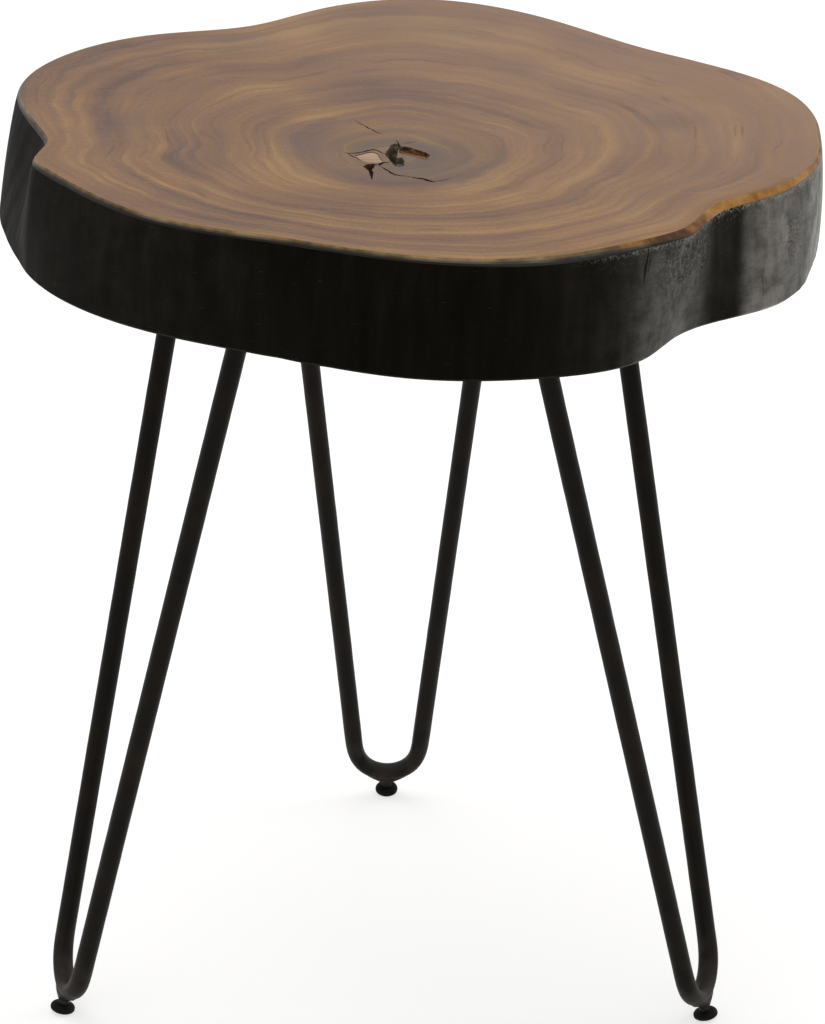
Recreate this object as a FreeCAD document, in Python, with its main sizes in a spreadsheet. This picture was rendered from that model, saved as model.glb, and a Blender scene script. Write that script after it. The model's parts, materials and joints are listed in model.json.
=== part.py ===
"""Side table: a live-edge log slice on three hairpin legs with levelling feet.

Lengths are in millimetres and angles in degrees. The floor is z = 0, +Z is up, -Y is the front,
and the origin is under the middle of the slab. Each leg piece is drawn in the leg's own frame:
local Z runs up the leg's axis from the floor, and local X runs across the hairpin.
"""
import FreeCAD
import Part
import math
import os

import Sketcher

Vector = FreeCAD.Vector

# Driving dimensions: alias, value, meaning
DIMENSIONS = [
    ("table_height", 570, "floor to the top of the slab"),
    ("slab_thickness", 66, "depth of the log slice"),
    ("slab_belly", 1.5, "how far the wall swells at half its height"),
    ("arris_height", 3, "height of the planed edge round the top"),
    ("pith_depth", 15, "depth of the open check at the heart"),
    ("legs_centre_x", -7, "middle of the three legs, from the origin"),
    ("legs_centre_y", -4.1, "middle of the three legs, from the origin"),
    ("edge_centre_x", 3.9, "point that the live edge's radii are measured from"),
    ("edge_centre_y", -4.1, "point that the live edge's radii are measured from"),
    ("foot_circle", 212.2, "radius from the legs' middle to where each leg's axis meets the floor"),
    ("leg_lean", 12, "angle of a leg's axis from the vertical"),
    ("rod_splay", 5.2, "angle of each rod from the leg's axis"),
    ("rod_diameter", 12, "round steel bar"),
    ("bend_radius", 22.5, "hairpin bend, on the bar's centre line"),
    ("bend_bottom", 18.5, "lowest point of the bar's centre line, up the leg's axis"),
    ("rod_run", 520, "straight run of each rod before it is cut to the plate"),
    ("plate_length", 164, "mounting plate, across the hairpin"),
    ("plate_width", 46, "mounting plate, towards the slab's middle"),
    ("plate_thickness", 3, "mounting plate"),
    ("plate_corner", 9, "corner radius of the plate"),
    ("screw_pitch_long", 84, "screw spacing along the plate"),
    ("screw_pitch_short", 24, "screw spacing across the plate"),
    ("screw_shank", 4.8, "wood screw shank"),
    ("screw_length", 30, "wood screw, under the head"),
    ("screw_flats", 8, "hexagon head across flats"),
    ("screw_head_height", 3.5, "hexagon head height"),
    ("screw_hole", 5.4, "clearance hole in the plate"),
    ("pilot_hole", 5, "bore in the slab for a screw"),
    ("pilot_depth", 32, "depth of that bore"),
    ("stud_diameter", 6, "leveller stud"),
    ("stud_top", 23.8, "top of the stud, up the leg's axis, just below the inside of the bend"),
    ("running_gap", 0.05, "radial clearance of the stud in its bores"),
    ("hex_flats", 7, "spanner collar across flats"),
    ("hex_bottom", 5.9, "lower face of the spanner collar"),
    ("hex_height", 3, "height of the spanner collar"),
    ("boss_bottom", 9.2, "lower face of the boss welded under the bend"),
    ("boss_diameter", 8.4, "boss at its lower face"),
    ("boss_foot", 11, "boss where it stands on the spot face"),
    ("boss_seat", 14, "upper face of the boss, on the spot face milled under the bend"),
    ("seat_diameter", 11.6, "spot face under the bend"),
    ("tapped_top", 26, "end of the tapped hole, which runs out through the bend"),
    ("pad_diameter", 15.5, "foot pad"),
    ("pad_base", 1.4, "underside of the pad, up the leg's axis, so that the floor wears its edge flat"),
    ("pad_shoulder", 3.8, "top of the pad's rim"),
    ("pad_top", 5.6, "top of the pad's neck"),
    ("pad_neck", 8, "pad diameter at its neck"),
    ("stud_flange", 9, "flange of the stud, held inside the pad"),
    ("flange_bottom", 2.3, "lower face of that flange"),
    ("flange_height", 1.2, "thickness of that flange"),
    ("socket_gap", 0.1, "play of the flange in the pad's socket"),
]

# Azimuth of each leg from +X, and its turn about its own axis, as the legs were set by hand
LEGS = {"left": (198, 1.5), "back": (90.5, 0), "right": (343.3, -5.5)}

# Live edge of the slice: azimuth, radius at the top of the wall, radius at the underside
LIVE_EDGE = [
    (0, 232, 235), (20, 224, 227), (46, 197, 200), (70, 216, 217), (90, 233, 233), (106, 218, 219),
    (122, 200, 203), (138, 222, 226), (156, 239, 243), (170, 236, 246), (183, 219.5, 238), (190, 213, 234),
    (194, 213.3, 232.5), (197, 219, 232), (200.5, 225, 232), (205, 223.5, 231.5), (214, 219.5, 228),
    (232, 215, 217), (250, 206, 211), (270, 217, 224), (289, 229, 232), (303, 227, 229.5),
    (311, 225.5, 216.5), (320.5, 214, 217), (331, 225, 231.5), (346, 233, 233),
]
# The planed edge is widest along the front right of the slice
ARRIS_NARROW = 2
ARRIS_WIDE = 5
ARRIS_WIDE_FROM = 285
ARRIS_WIDE_TO = 340

# Open check round the pith: corners of the void, from the point that the live edge is measured from
PITH_CHECK = [
    (-24, -12), (-8, -52), (12, -63), (2, -70), (24, -97), (-2, -80), (-18, -96), (-19, -74),
    (-38, -60), (-18, -58),
]

doc = FreeCAD.newDocument("side_table")
sheet = doc.addObject("Spreadsheet::Sheet", "Dimensions")
for row, (alias, value, meaning) in enumerate(DIMENSIONS, start=1):
    sheet.set(f"A{row}", meaning)
    sheet.set(f"B{row}", str(value))
    sheet.setAlias(f"B{row}", alias)
doc.recompute()


def size(alias):
    """A driving dimension, read back from the sheet."""
    return float(sheet.get(alias))


def formula(expression):
    """Expression in which each name between @ marks is an alias of the sheet."""
    parts = expression.split("@")
    parts[1::2] = ["Dimensions." + alias for alias in parts[1::2]]
    return "".join(parts)


def bind(obj, prop, expression):
    obj.setExpression(prop, formula(expression))


def evaluate(expression):
    return float(sheet.evalExpression(formula(expression)))


def new_body(name):
    return doc.addObject("PartDesign::Body", name)


def plane(body, role):
    return next(item for item in body.Origin.OriginFeatures if item.Role == role)


def new_sketch(body, name, role, lift=None):
    """A sketch on one of the body's own planes, lifted along that plane's normal by a formula."""
    sketch = body.newObject("Sketcher::SketchObject", name)
    sketch.AttachmentSupport = [(plane(body, role), "")]
    sketch.MapMode = "FlatFace"
    if lift:
        bind(sketch, ".AttachmentOffset.Base.z", lift)
    return sketch


def closed_profile(sketch, points):
    """Closed outline of straight edges through the points."""
    corners = [Vector(x, y, 0) for x, y in points]
    count = len(corners)
    for index in range(count):
        sketch.addGeometry(Part.LineSegment(corners[index], corners[(index + 1) % count]))
    for index in range(count):
        sketch.addConstraint(Sketcher.Constraint("Coincident", index, 2, (index + 1) % count, 1))


def place_corner(sketch, edge, across, along):
    """Tie the start of an edge to two formulas, measured from the sketch's origin."""
    for kind, formula in (("DistanceX", across), ("DistanceY", along)):
        start = sketch.Geometry[edge].StartPoint
        reach = start.x if kind == "DistanceX" else start.y
        index = sketch.addConstraint(Sketcher.Constraint(kind, -1, 1, edge, 1, reach))
        sketch.renameConstraint(index, f"{kind}_{edge}")
        bind(sketch, f"Constraints.{kind}_{edge}", formula)


def circle(sketch, name, diameter, across="0", along="0"):
    """Circle whose diameter and centre are formulas bound to the sheet."""
    index = sketch.addGeometry(Part.Circle(Vector(0, 0, 0), Vector(0, 0, 1), 1))
    for label, formula, constraint in (
        ("Diameter", diameter, Sketcher.Constraint("Diameter", index, 2)),
        ("Across", across, Sketcher.Constraint("DistanceX", -1, 1, index, 3, 0)),
        ("Along", along, Sketcher.Constraint("DistanceY", -1, 1, index, 3, 0)),
    ):
        sketch.renameConstraint(sketch.addConstraint(constraint), name + label)
        bind(sketch, f"Constraints.{name}{label}", formula)


def hexagon(sketch, flats):
    """Hexagon about the sketch's origin; flats is the alias of its width across flats."""
    turns = [60 * step for step in range(6)]
    corner = size(flats) / math.sqrt(3)
    closed_profile(sketch, [
        (corner * math.cos(math.radians(turn)), corner * math.sin(math.radians(turn))) for turn in turns
    ])
    for edge, turn in enumerate(turns):
        reach = f"@{flats}@ / sqrt(3)"
        place_corner(sketch, edge, f"{reach} * cos({turn} deg)", f"{reach} * sin({turn} deg)")


def padded(body, name, sketch, length, downwards=False):
    """Sketch pushed along its normal by a formula."""
    pad = body.newObject("PartDesign::Pad", name)
    pad.Profile = sketch
    pad.Reversed = downwards
    bind(pad, "Length", length)
    doc.recompute()
    return pad


def turned_section(body, name, corners):
    """Half section through the corners, each a pair of formulas, turned about the body's Z axis."""
    section = new_sketch(body, name, "XZ_Plane")
    closed_profile(section, [(evaluate(across), evaluate(along)) for across, along in corners])
    for edge, (across, along) in enumerate(corners):
        place_corner(section, edge, across, along)
    turned = body.newObject("PartDesign::Revolution", f"{name}Turned")
    turned.Profile = section
    turned.ReferenceAxis = (section, ["V_Axis"])
    turned.Angle = 360
    doc.recompute()
    return turned


def leg_frame(leg):
    """Frame of a leg: the point where its axis meets the floor, Z up the axis, X across the hairpin."""
    azimuth, turn = LEGS[leg]
    turning = FreeCAD.Rotation(Vector(0, 0, 1), azimuth + 90)
    turning = turning * FreeCAD.Rotation(Vector(1, 0, 0), -size("leg_lean"))
    turning = turning * FreeCAD.Rotation(Vector(0, 0, 1), turn)
    reach = size("foot_circle")
    tip = Vector(
        size("legs_centre_x") + reach * math.cos(math.radians(azimuth)),
        size("legs_centre_y") + reach * math.sin(math.radians(azimuth)),
        0,
    )
    return FreeCAD.Placement(tip, turning)


def plate_frame(leg):
    """Frame of a mounting plate: its lower face where the leg's axis meets it, X across the hairpin."""
    foot = leg_frame(leg)
    axis = foot.Rotation.multVec(Vector(0, 0, 1))
    height = size("table_height") - size("slab_thickness") - size("plate_thickness")
    meeting = foot.Base + axis * ((height - foot.Base.z) / axis.z)
    azimuth, turn = LEGS[leg]
    return FreeCAD.Placement(meeting, FreeCAD.Rotation(Vector(0, 0, 1), azimuth + 90 + turn))


def screw_spots():
    """Screw centres on a plate, from its middle."""
    long = size("screw_pitch_long") / 2
    short = size("screw_pitch_short") / 2
    return [(x, y) for x in (-long, long) for y in (-short, short)]


def live_edge_curve(radius_of):
    """Closed smooth outline of the slice; radius_of gives a radius for each entry of LIVE_EDGE."""
    points = []
    for entry in LIVE_EDGE:
        angle = math.radians(entry[0])
        radius = radius_of(entry)
        points.append(Vector(radius * math.cos(angle), radius * math.sin(angle), 0))
    turns = [entry[0] / 360 for entry in LIVE_EDGE] + [1.0]
    curve = Part.BSplineCurve()
    curve.interpolate(Points=points, PeriodicFlag=True, Parameters=turns)
    return curve


def arris_width(entry):
    return ARRIS_WIDE if ARRIS_WIDE_FROM <= entry[0] <= ARRIS_WIDE_TO else ARRIS_NARROW


def make_slab():
    """Log slice: a loft up the live edge, a planed arris, the open pith and the screw bores."""
    body = new_body("Slab")
    bind(body, ".Placement.Base.x", "@edge_centre_x@")
    bind(body, ".Placement.Base.y", "@edge_centre_y@")
    bind(body, ".Placement.Base.z", "@table_height@ - @slab_thickness@")
    middle = Vector(size("edge_centre_x"), size("edge_centre_y"), 0)
    belly = size("slab_belly")
    sections = {}
    for name, lift, radius_of in (
        ("Underside", "0", lambda entry: entry[2]),
        ("Middle", "@slab_thickness@ / 2", lambda entry: (entry[1] + entry[2]) / 2 + belly),
        ("Shoulder", "@slab_thickness@ - @arris_height@", lambda entry: entry[1]),
        ("Top", "@slab_thickness@", lambda entry: entry[1] - arris_width(entry)),
    ):
        sections[name] = new_sketch(body, name, "XY_Plane", lift)
        sections[name].addGeometry(live_edge_curve(radius_of))
    wall = body.newObject("PartDesign::AdditiveLoft", "LiveEdge")
    wall.Profile = sections["Underside"]
    wall.Sections = [sections["Middle"], sections["Shoulder"]]
    wall.Ruled = True
    doc.recompute()
    arris = body.newObject("PartDesign::AdditiveLoft", "Arris")
    arris.Profile = sections["Shoulder"]
    arris.Sections = [sections["Top"]]
    arris.Ruled = True
    doc.recompute()

    check = new_sketch(body, "PithCheck", "XY_Plane", "@slab_thickness@")
    closed_profile(check, PITH_CHECK)
    void = body.newObject("PartDesign::Pocket", "PithVoid")
    void.Profile = check
    bind(void, "Length", "@pith_depth@")
    doc.recompute()

    bores = new_sketch(body, "PilotBores", "XY_Plane")
    number = 0
    for leg in LEGS:
        frame = plate_frame(leg)
        for x, y in screw_spots():
            spot = frame.multVec(Vector(x, y, 0)) - middle
            number += 1
            circle(bores, f"Bore{number}", "@pilot_hole@", f"{spot.x:.6f}", f"{spot.y:.6f}")
    pilots = body.newObject("PartDesign::Pocket", "Pilots")
    pilots.Profile = bores
    pilots.Reversed = True
    bind(pilots, "Length", "@pilot_depth@")
    doc.recompute()
    return body


def make_bar(leg):
    """Bent bar of one leg: half the bend and one run, mirrored, then spot-faced and tapped for the foot."""
    body = new_body(f"Bar_{leg}")
    height = size("bend_bottom") + size("bend_radius")
    section = new_sketch(body, f"BendSection_{leg}", "YZ_Plane")
    circle(section, "Bar", "@rod_diameter@", "0", "@bend_bottom@")
    reach = size("rod_diameter")
    bend_axis = Part.LineSegment(Vector(-reach, height, 0), Vector(reach, height, 0))
    axis = section.addGeometry(bend_axis, True)
    place_corner(section, axis, "-@rod_diameter@", "@bend_bottom@ + @bend_radius@")
    section.addConstraint(Sketcher.Constraint("Horizontal", axis))
    bend = body.newObject("PartDesign::Revolution", f"HalfBend_{leg}")
    bend.Profile = section
    bend.ReferenceAxis = (section, ["Axis0"])
    bind(bend, "Angle", "90 - @rod_splay@")
    doc.recompute()
    if bend.Shape.BoundBox.XMax < size("rod_diameter"):
        bend.Reversed = True
        doc.recompute()

    end = new_sketch(body, f"RunSection_{leg}", "XY_Plane")
    end.AttachmentOffset = FreeCAD.Placement(Vector(), FreeCAD.Rotation(Vector(0, 1, 0), size("rod_splay")))
    bind(end, ".AttachmentOffset.Base.x", "@bend_radius@ * cos(@rod_splay@ * 1 deg)")
    bind(end, ".AttachmentOffset.Base.z", "@bend_bottom@ + @bend_radius@ * (1 - sin(@rod_splay@ * 1 deg))")
    bind(end, ".AttachmentOffset.Rotation.Angle", "@rod_splay@")
    circle(end, "Bar", "@rod_diameter@")
    run = padded(body, f"Run_{leg}", end, "@rod_run@")
    hairpin = body.newObject("PartDesign::Mirrored", f"Hairpin_{leg}")
    hairpin.Originals = [bend, run]
    hairpin.MirrorPlane = (plane(body, "YZ_Plane"), [""])
    body.Tip = hairpin
    doc.recompute()

    for name, diameter, depth in (
        ("SpotFace", "@seat_diameter@", "@boss_seat@"),
        ("Tapped", "@stud_diameter@ + 2 * @running_gap@", "@tapped_top@"),
    ):
        outline = new_sketch(body, f"{name}Outline_{leg}", "XY_Plane")
        circle(outline, name, diameter)
        bore = body.newObject("PartDesign::Pocket", f"{name}_{leg}")
        bore.Profile = outline
        bore.Reversed = True
        bind(bore, "Length", depth)
        doc.recompute()
    body.Placement = leg_frame(leg)
    doc.recompute()
    return body


def cut(name, base, tool):
    result = doc.addObject("Part::Cut", name)
    result.Base = base
    result.Tool = tool
    doc.recompute()
    return result


def cutting_block(name, base_formula, height_formula):
    """Wide level block that trims pieces between two heights."""
    block = doc.addObject("Part::Box", name)
    for side in ("Length", "Width"):
        bind(block, side, "3 * @foot_circle@")
    bind(block, "Height", height_formula)
    for axis in ("x", "y"):
        bind(block, f".Placement.Base.{axis}", "-1.5 * @foot_circle@")
    bind(block, ".Placement.Base.z", base_formula)
    return block


def make_plate(leg):
    """Mounting plate: a flat bar with round corners and four screw holes."""
    body = new_body(f"Plate_{leg}")
    outline = new_sketch(body, f"PlateOutline_{leg}", "XY_Plane")
    half_long = size("plate_length") / 2
    half_wide = size("plate_width") / 2
    closed_profile(outline, [(-half_long, -half_wide), (half_long, -half_wide), (half_long, half_wide),
                             (-half_long, half_wide)])
    place_corner(outline, 0, "-@plate_length@ / 2", "-@plate_width@ / 2")
    place_corner(outline, 1, "@plate_length@ / 2", "-@plate_width@ / 2")
    place_corner(outline, 2, "@plate_length@ / 2", "@plate_width@ / 2")
    place_corner(outline, 3, "-@plate_length@ / 2", "@plate_width@ / 2")
    flat = padded(body, f"PlateFlat_{leg}", outline, "@plate_thickness@")
    corners = body.newObject("PartDesign::Fillet", f"PlateCorners_{leg}")
    upright = [
        f"Edge{number}" for number, edge in enumerate(flat.Shape.Edges, start=1)
        if abs(edge.tangentAt(edge.FirstParameter).z) > 0.99
    ]
    corners.Base = (flat, upright)
    bind(corners, "Radius", "@plate_corner@")
    doc.recompute()
    holes = new_sketch(body, f"PlateHoles_{leg}", "XY_Plane")
    for number, (x, y) in enumerate(((-1, -1), (-1, 1), (1, -1), (1, 1))):
        across = f"{x} * @screw_pitch_long@ / 2"
        along = f"{y} * @screw_pitch_short@ / 2"
        circle(holes, f"Hole{number}", "@screw_hole@", across, along)
    drilled = body.newObject("PartDesign::Pocket", f"PlateDrilled_{leg}")
    drilled.Profile = holes
    drilled.Reversed = True
    bind(drilled, "Length", "@plate_thickness@")
    body.Placement = plate_frame(leg)
    doc.recompute()
    return body


def make_screws(leg):
    """Four hexagon-head wood screws of one plate, as separate solids of one piece."""
    body = new_body(f"Screws_{leg}")
    body.AllowCompound = True
    head_outline = new_sketch(body, f"HeadOutline_{leg}", "XY_Plane")
    hexagon(head_outline, "screw_flats")
    head = padded(body, f"Head_{leg}", head_outline, "@screw_head_height@", downwards=True)
    shank_outline = new_sketch(body, f"ShankOutline_{leg}", "XY_Plane")
    circle(shank_outline, "Shank", "@screw_shank@")
    shank = padded(body, f"Shank_{leg}", shank_outline, "@screw_length@")
    steps = []
    for role, pitch in (("X_Axis", "@screw_pitch_long@"), ("Y_Axis", "@screw_pitch_short@")):
        step = body.newObject("PartDesign::LinearPattern", f"Step_{role}_{leg}")
        step.Direction = (plane(body, role), [""])
        step.Occurrences = 2
        bind(step, "Length", pitch)
        steps.append(step)
    grid = body.newObject("PartDesign::MultiTransform", f"ScrewGrid_{leg}")
    grid.Originals = [head, shank]
    grid.Transformations = steps
    body.Tip = grid
    across, along = screw_spots()[0]
    first = FreeCAD.Placement(Vector(across, along, 0), FreeCAD.Rotation())
    body.Placement = plate_frame(leg) * first
    doc.recompute()
    return body


def make_boss(leg):
    """Tapped boss: a short cone that stands on the spot face milled under the bend."""
    body = new_body(f"Boss_{leg}")
    tapping = "@stud_diameter@ / 2 + @running_gap@"
    turned_section(body, f"BossSection_{leg}", [
        (tapping, "@boss_bottom@"), ("@boss_diameter@ / 2", "@boss_bottom@"),
        ("@boss_foot@ / 2", "@boss_seat@"), (tapping, "@boss_seat@"),
    ])
    body.Placement = leg_frame(leg)
    doc.recompute()
    return body


def make_stud(leg):
    """Leveller stud: a flange held in the pad, a spanner collar and a plain length for the thread."""
    body = new_body(f"Stud_{leg}")
    shank = "@stud_diameter@ / 2"
    flange = "@stud_flange@ / 2"
    shoulder = "@flange_bottom@ + @flange_height@"
    turned_section(body, f"StudSection_{leg}", [
        ("0", "@flange_bottom@"), (flange, "@flange_bottom@"), (flange, shoulder), (shank, shoulder),
        (shank, "@stud_top@"), ("0", "@stud_top@"),
    ])
    collar = new_sketch(body, f"CollarOutline_{leg}", "XY_Plane", "@hex_bottom@")
    hexagon(collar, "hex_flats")
    padded(body, f"SpannerCollar_{leg}", collar, "@hex_height@")
    body.Placement = leg_frame(leg)
    doc.recompute()
    return body


def make_pad(leg):
    """Foot pad: a rim, a cone up to the neck and a socket that holds the stud's flange."""
    body = new_body(f"PadBlank_{leg}")
    edge = "@pad_diameter@ / 2"
    throat = "@stud_diameter@ / 2 + @socket_gap@"
    socket = "@stud_flange@ / 2 + @socket_gap@"
    socket_floor = "@flange_bottom@ - @socket_gap@"
    socket_roof = "@flange_bottom@ + @flange_height@ + @socket_gap@"
    turned_section(body, f"PadSection_{leg}", [
        ("0", "@pad_base@"), (edge, "@pad_base@"), (edge, "@pad_shoulder@"), ("@pad_neck@ / 2", "@pad_top@"),
        (throat, "@pad_top@"), (throat, socket_roof), (socket, socket_roof), (socket, socket_floor),
        ("0", socket_floor),
    ])
    body.Placement = leg_frame(leg)
    doc.recompute()
    return body


PIECES = {}


def keep(name, obj):
    obj.Label = name
    PIECES[name] = obj


keep("slab_top", make_slab())
plate_underside = "@table_height@ - @slab_thickness@ - @plate_thickness@"
above_plates = cutting_block("AbovePlates", plate_underside, "@rod_run@")
below_floor = cutting_block("BelowFloor", "-@pad_top@", "@pad_top@")
for leg in LEGS:
    keep(f"hairpin_rod_{leg}", cut(f"TrimmedBar_{leg}", make_bar(leg), above_plates))
    keep(f"mounting_plate_{leg}", make_plate(leg))
    keep(f"plate_screws_{leg}", make_screws(leg))
    keep(f"foot_boss_{leg}", make_boss(leg))
    keep(f"leveller_stud_{leg}", make_stud(leg))
    keep(f"leveller_pad_{leg}", cut(f"WornPad_{leg}", make_pad(leg), below_floor))

doc.recompute()
faults = [obj.Name for obj in doc.Objects if "Invalid" in obj.State or "Error" in obj.State]
faults += [name for name, obj in PIECES.items() if obj.Shape.isNull() or not obj.Shape.isValid()]
if faults:
    raise RuntimeError("failed: " + ", ".join(faults))

os.makedirs("parts", exist_ok=True)
for name, obj in PIECES.items():
    obj.Shape.exportStep(f"parts/{name}.step")
    print(f"{name}: {len(obj.Shape.Solids)} solids, {obj.Shape.Volume / 1000:.2f} cm3")
box = PIECES["slab_top"].Shape.optimalBoundingBox(False)
print(f"slab x {box.XMin:.2f} to {box.XMax:.2f}, y {box.YMin:.2f} to {box.YMax:.2f}")
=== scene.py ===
# %% [markdown]
# # A log-slice side table
# The real table is one slice of a tree trunk on three legs bent from round steel bar. This lesson builds
# its looks piece by piece: the lacquered end grain with its open heart, the black live edge, the painted
# hairpin legs and the small levelling feet. Every piece is made in metres, in the frame of the measured
# solids, so each one goes straight to its place and rides on the body that carries it.

# %% Load the measured frame
import json
import math

import bmesh
import bpy
import numpy as np
from mathutils import Matrix, Vector, noise


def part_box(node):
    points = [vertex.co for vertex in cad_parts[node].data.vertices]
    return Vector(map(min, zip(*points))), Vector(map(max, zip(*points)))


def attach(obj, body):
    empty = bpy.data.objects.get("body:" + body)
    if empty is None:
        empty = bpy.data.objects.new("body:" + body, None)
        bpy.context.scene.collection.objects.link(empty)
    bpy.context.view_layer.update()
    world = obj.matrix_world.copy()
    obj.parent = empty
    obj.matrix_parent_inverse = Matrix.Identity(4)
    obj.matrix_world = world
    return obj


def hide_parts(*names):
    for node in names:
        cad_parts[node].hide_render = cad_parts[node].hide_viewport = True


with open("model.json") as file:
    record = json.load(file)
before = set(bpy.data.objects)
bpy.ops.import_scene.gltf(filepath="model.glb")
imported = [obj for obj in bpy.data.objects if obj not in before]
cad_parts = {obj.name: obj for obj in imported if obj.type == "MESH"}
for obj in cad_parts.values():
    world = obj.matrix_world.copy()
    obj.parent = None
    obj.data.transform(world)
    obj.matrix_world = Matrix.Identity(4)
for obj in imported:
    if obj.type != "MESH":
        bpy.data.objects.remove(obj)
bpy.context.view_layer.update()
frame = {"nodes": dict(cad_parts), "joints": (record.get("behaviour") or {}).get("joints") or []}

MM = 0.001

# %% [markdown]
# ## Colours and nodes
# Colours are written as the sRGB hex values that a paint chart would give, and one function turns them into
# the linear values that shaders expect. Materials are small networks of nodes. They could be wired in the
# node editor, but a single function that adds a node with its settings and links keeps each one readable.
# Inputs go in the order in which the editor shows them. A noise texture reads place, scale, detail and
# roughness; a map range reads value, from low, from high, to low and to high.

# %% Colours and nodes
def paint(code):
    """Linear colour of an sRGB hex value; a number is a linear grey already."""
    if not isinstance(code, str):
        return [code, code, code, 1.0]
    shares = [int(code[place:place + 2], 16) / 255 for place in (1, 3, 5)]
    return [s / 12.92 if s <= 0.04045 else ((s + 0.055) / 1.055) ** 2.4 for s in shares] + [1.0]


def feed(node, inputs):
    """Feed sockets of a node: nodes and outputs are linked, colours and values set, None left as it is."""
    for socket, source in inputs.items():
        if isinstance(source, bpy.types.Node):
            source = next(output for output in source.outputs if output.enabled)
        if isinstance(source, bpy.types.NodeSocket):
            node.id_data.links.new(source, node.inputs[socket])
        elif source is not None:
            node.inputs[socket].default_value = paint(source) if isinstance(source, str) else source


def add(tree, kind, *inputs, stops=None, **settings):
    """Add a node with its settings, its inputs in the order of its sockets and its colour-ramp stops."""
    node = tree.nodes.new("ShaderNode" + kind)
    for name, value in settings.items():
        setattr(node, name, value)
    shown = [place for place, socket in enumerate(node.inputs) if socket.enabled]
    feed(node, dict(zip(shown, inputs)))
    if stops:
        elements = node.color_ramp.elements
        for element, (place, code) in ((elements[0], stops[0]), (elements[1], stops[-1])):
            element.position = place
            element.color = paint(code)
        for place, code in stops[1:-1]:
            elements.new(place).color = paint(code)
    return node


def new_material(name):
    """Empty material with its node tree and its surface shader."""
    material = bpy.data.materials.new(name)
    material.use_nodes = True
    return material, material.node_tree, material.node_tree.nodes["Principled BSDF"]


print("linear value of mid grey:", round(paint("#808080")[0], 3))

# %% [markdown]
# ## Meshes from rings
# Nearly every piece here is a skin over rings of points: a turned foot, a bent bar, even the log itself.
# Primitives with modifiers could stand in for them, but rings let one formula set the whole surface.

# %% Meshes from rings
SHARP_DEGREES = 32


def new_piece(name, points, faces):
    """Mesh object with outward faces, smooth except where it turns sharply."""
    mesh = bpy.data.meshes.new(name)
    mesh.from_pydata([tuple(point) for point in points], [], faces)
    shape = bmesh.new()
    shape.from_mesh(mesh)
    bmesh.ops.recalc_face_normals(shape, faces=shape.faces)
    shape.to_mesh(mesh)
    shape.free()
    mesh.shade_smooth()
    mesh.set_sharp_from_angle(angle=math.radians(SHARP_DEGREES))
    piece = bpy.data.objects.new(name, mesh)
    bpy.context.scene.collection.objects.link(piece)
    return piece


def skin(rings, joined=False):
    """Points and quads between rings of points, capped at both ends or joined end to end."""
    rings = np.asarray(rings, float)
    rows, around = rings.shape[:2]
    faces = []
    for row in range(rows if joined else rows - 1):
        here = row * around
        above = (row + 1) % rows * around
        for step in range(around):
            beside = (step + 1) % around
            faces.append((here + step, here + beside, above + beside, above + step))
    if not joined:
        faces.append(tuple(range(around)))
        faces.append(tuple(range((rows - 1) * around, rows * around)))
    return rings.reshape(-1, 3), faces


print("faces on a four-sided box skin:", len(skin(np.zeros((2, 4, 3)))[1]))

# %% [markdown]
# ## Camera
# The photograph was taken from above table height with a long lens. The camera could be nudged by eye until
# the picture fits. Here its place, tilt and lens come from the straight lines of the legs and the outline of
# the slab, so the render lies on the photograph and a pixel of it can be traced back to a point on the table.

# %% Camera
PHOTO_WIDTH = 825
PHOTO_HEIGHT = 1024
FOCAL_PIXELS = 3378.0
SENSOR_MM = 36.0
EYE = Vector((6.2, -1844.9, 1205.4)) * MM
TILT_DOWN = math.radians(25.687)
ROLL = math.radians(0.946)

forward = Vector((0, math.cos(TILT_DOWN), -math.sin(TILT_DOWN)))
level_right = Vector((1, 0, 0))
level_up = level_right.cross(forward)
right = level_right * math.cos(ROLL) + level_up * math.sin(ROLL)
up = level_up * math.cos(ROLL) - level_right * math.sin(ROLL)

camera_data = bpy.data.cameras.new("photo_camera")
camera_data.sensor_width = SENSOR_MM
camera_data.lens = FOCAL_PIXELS * SENSOR_MM / PHOTO_HEIGHT
camera = bpy.data.objects.new("photo_camera", camera_data)
camera.matrix_world = Matrix.Translation(EYE) @ Matrix((right, up, -forward)).transposed().to_4x4()
bpy.context.scene.collection.objects.link(camera)
bpy.context.scene.camera = camera


def seen_at(pixel, height):
    """Point at a height above the floor that the camera sees at a pixel of the photograph."""
    across, down = pixel
    ray = forward * FOCAL_PIXELS + right * (across - PHOTO_WIDTH / 2) + up * (PHOTO_HEIGHT / 2 - down)
    return EYE + ray * ((height - EYE.z) / ray.z)


print("lens in mm:", round(camera_data.lens, 1))

# %% [markdown]
# ## Floor and light
# The table stands on a pale studio floor under one large softbox, with a weaker one from the right that
# draws the sheen on the black edge. The floor could be made white with more light, but that would bleach
# the wood, so part of its whiteness is a glow that only the camera and reflections see, and its painted
# part still takes the table's shadow.

# %% Floor and light
FLOOR_REACH = 30.0
FLOOR_SIDES = 64
FLOOR_GLOW = 0.62
SKY_AT_HORIZON = 0.86
SKY_OVERHEAD = 0.42
SKY_RISES = 0.8

bpy.context.scene.view_settings.view_transform = "Standard"

rim = [(FLOOR_REACH * math.cos(turn), FLOOR_REACH * math.sin(turn), 0.0)
       for turn in np.linspace(0, 2 * math.pi, FLOOR_SIDES, endpoint=False)]
floor = new_piece("studio_floor", rim, [tuple(range(FLOOR_SIDES))])

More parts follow.
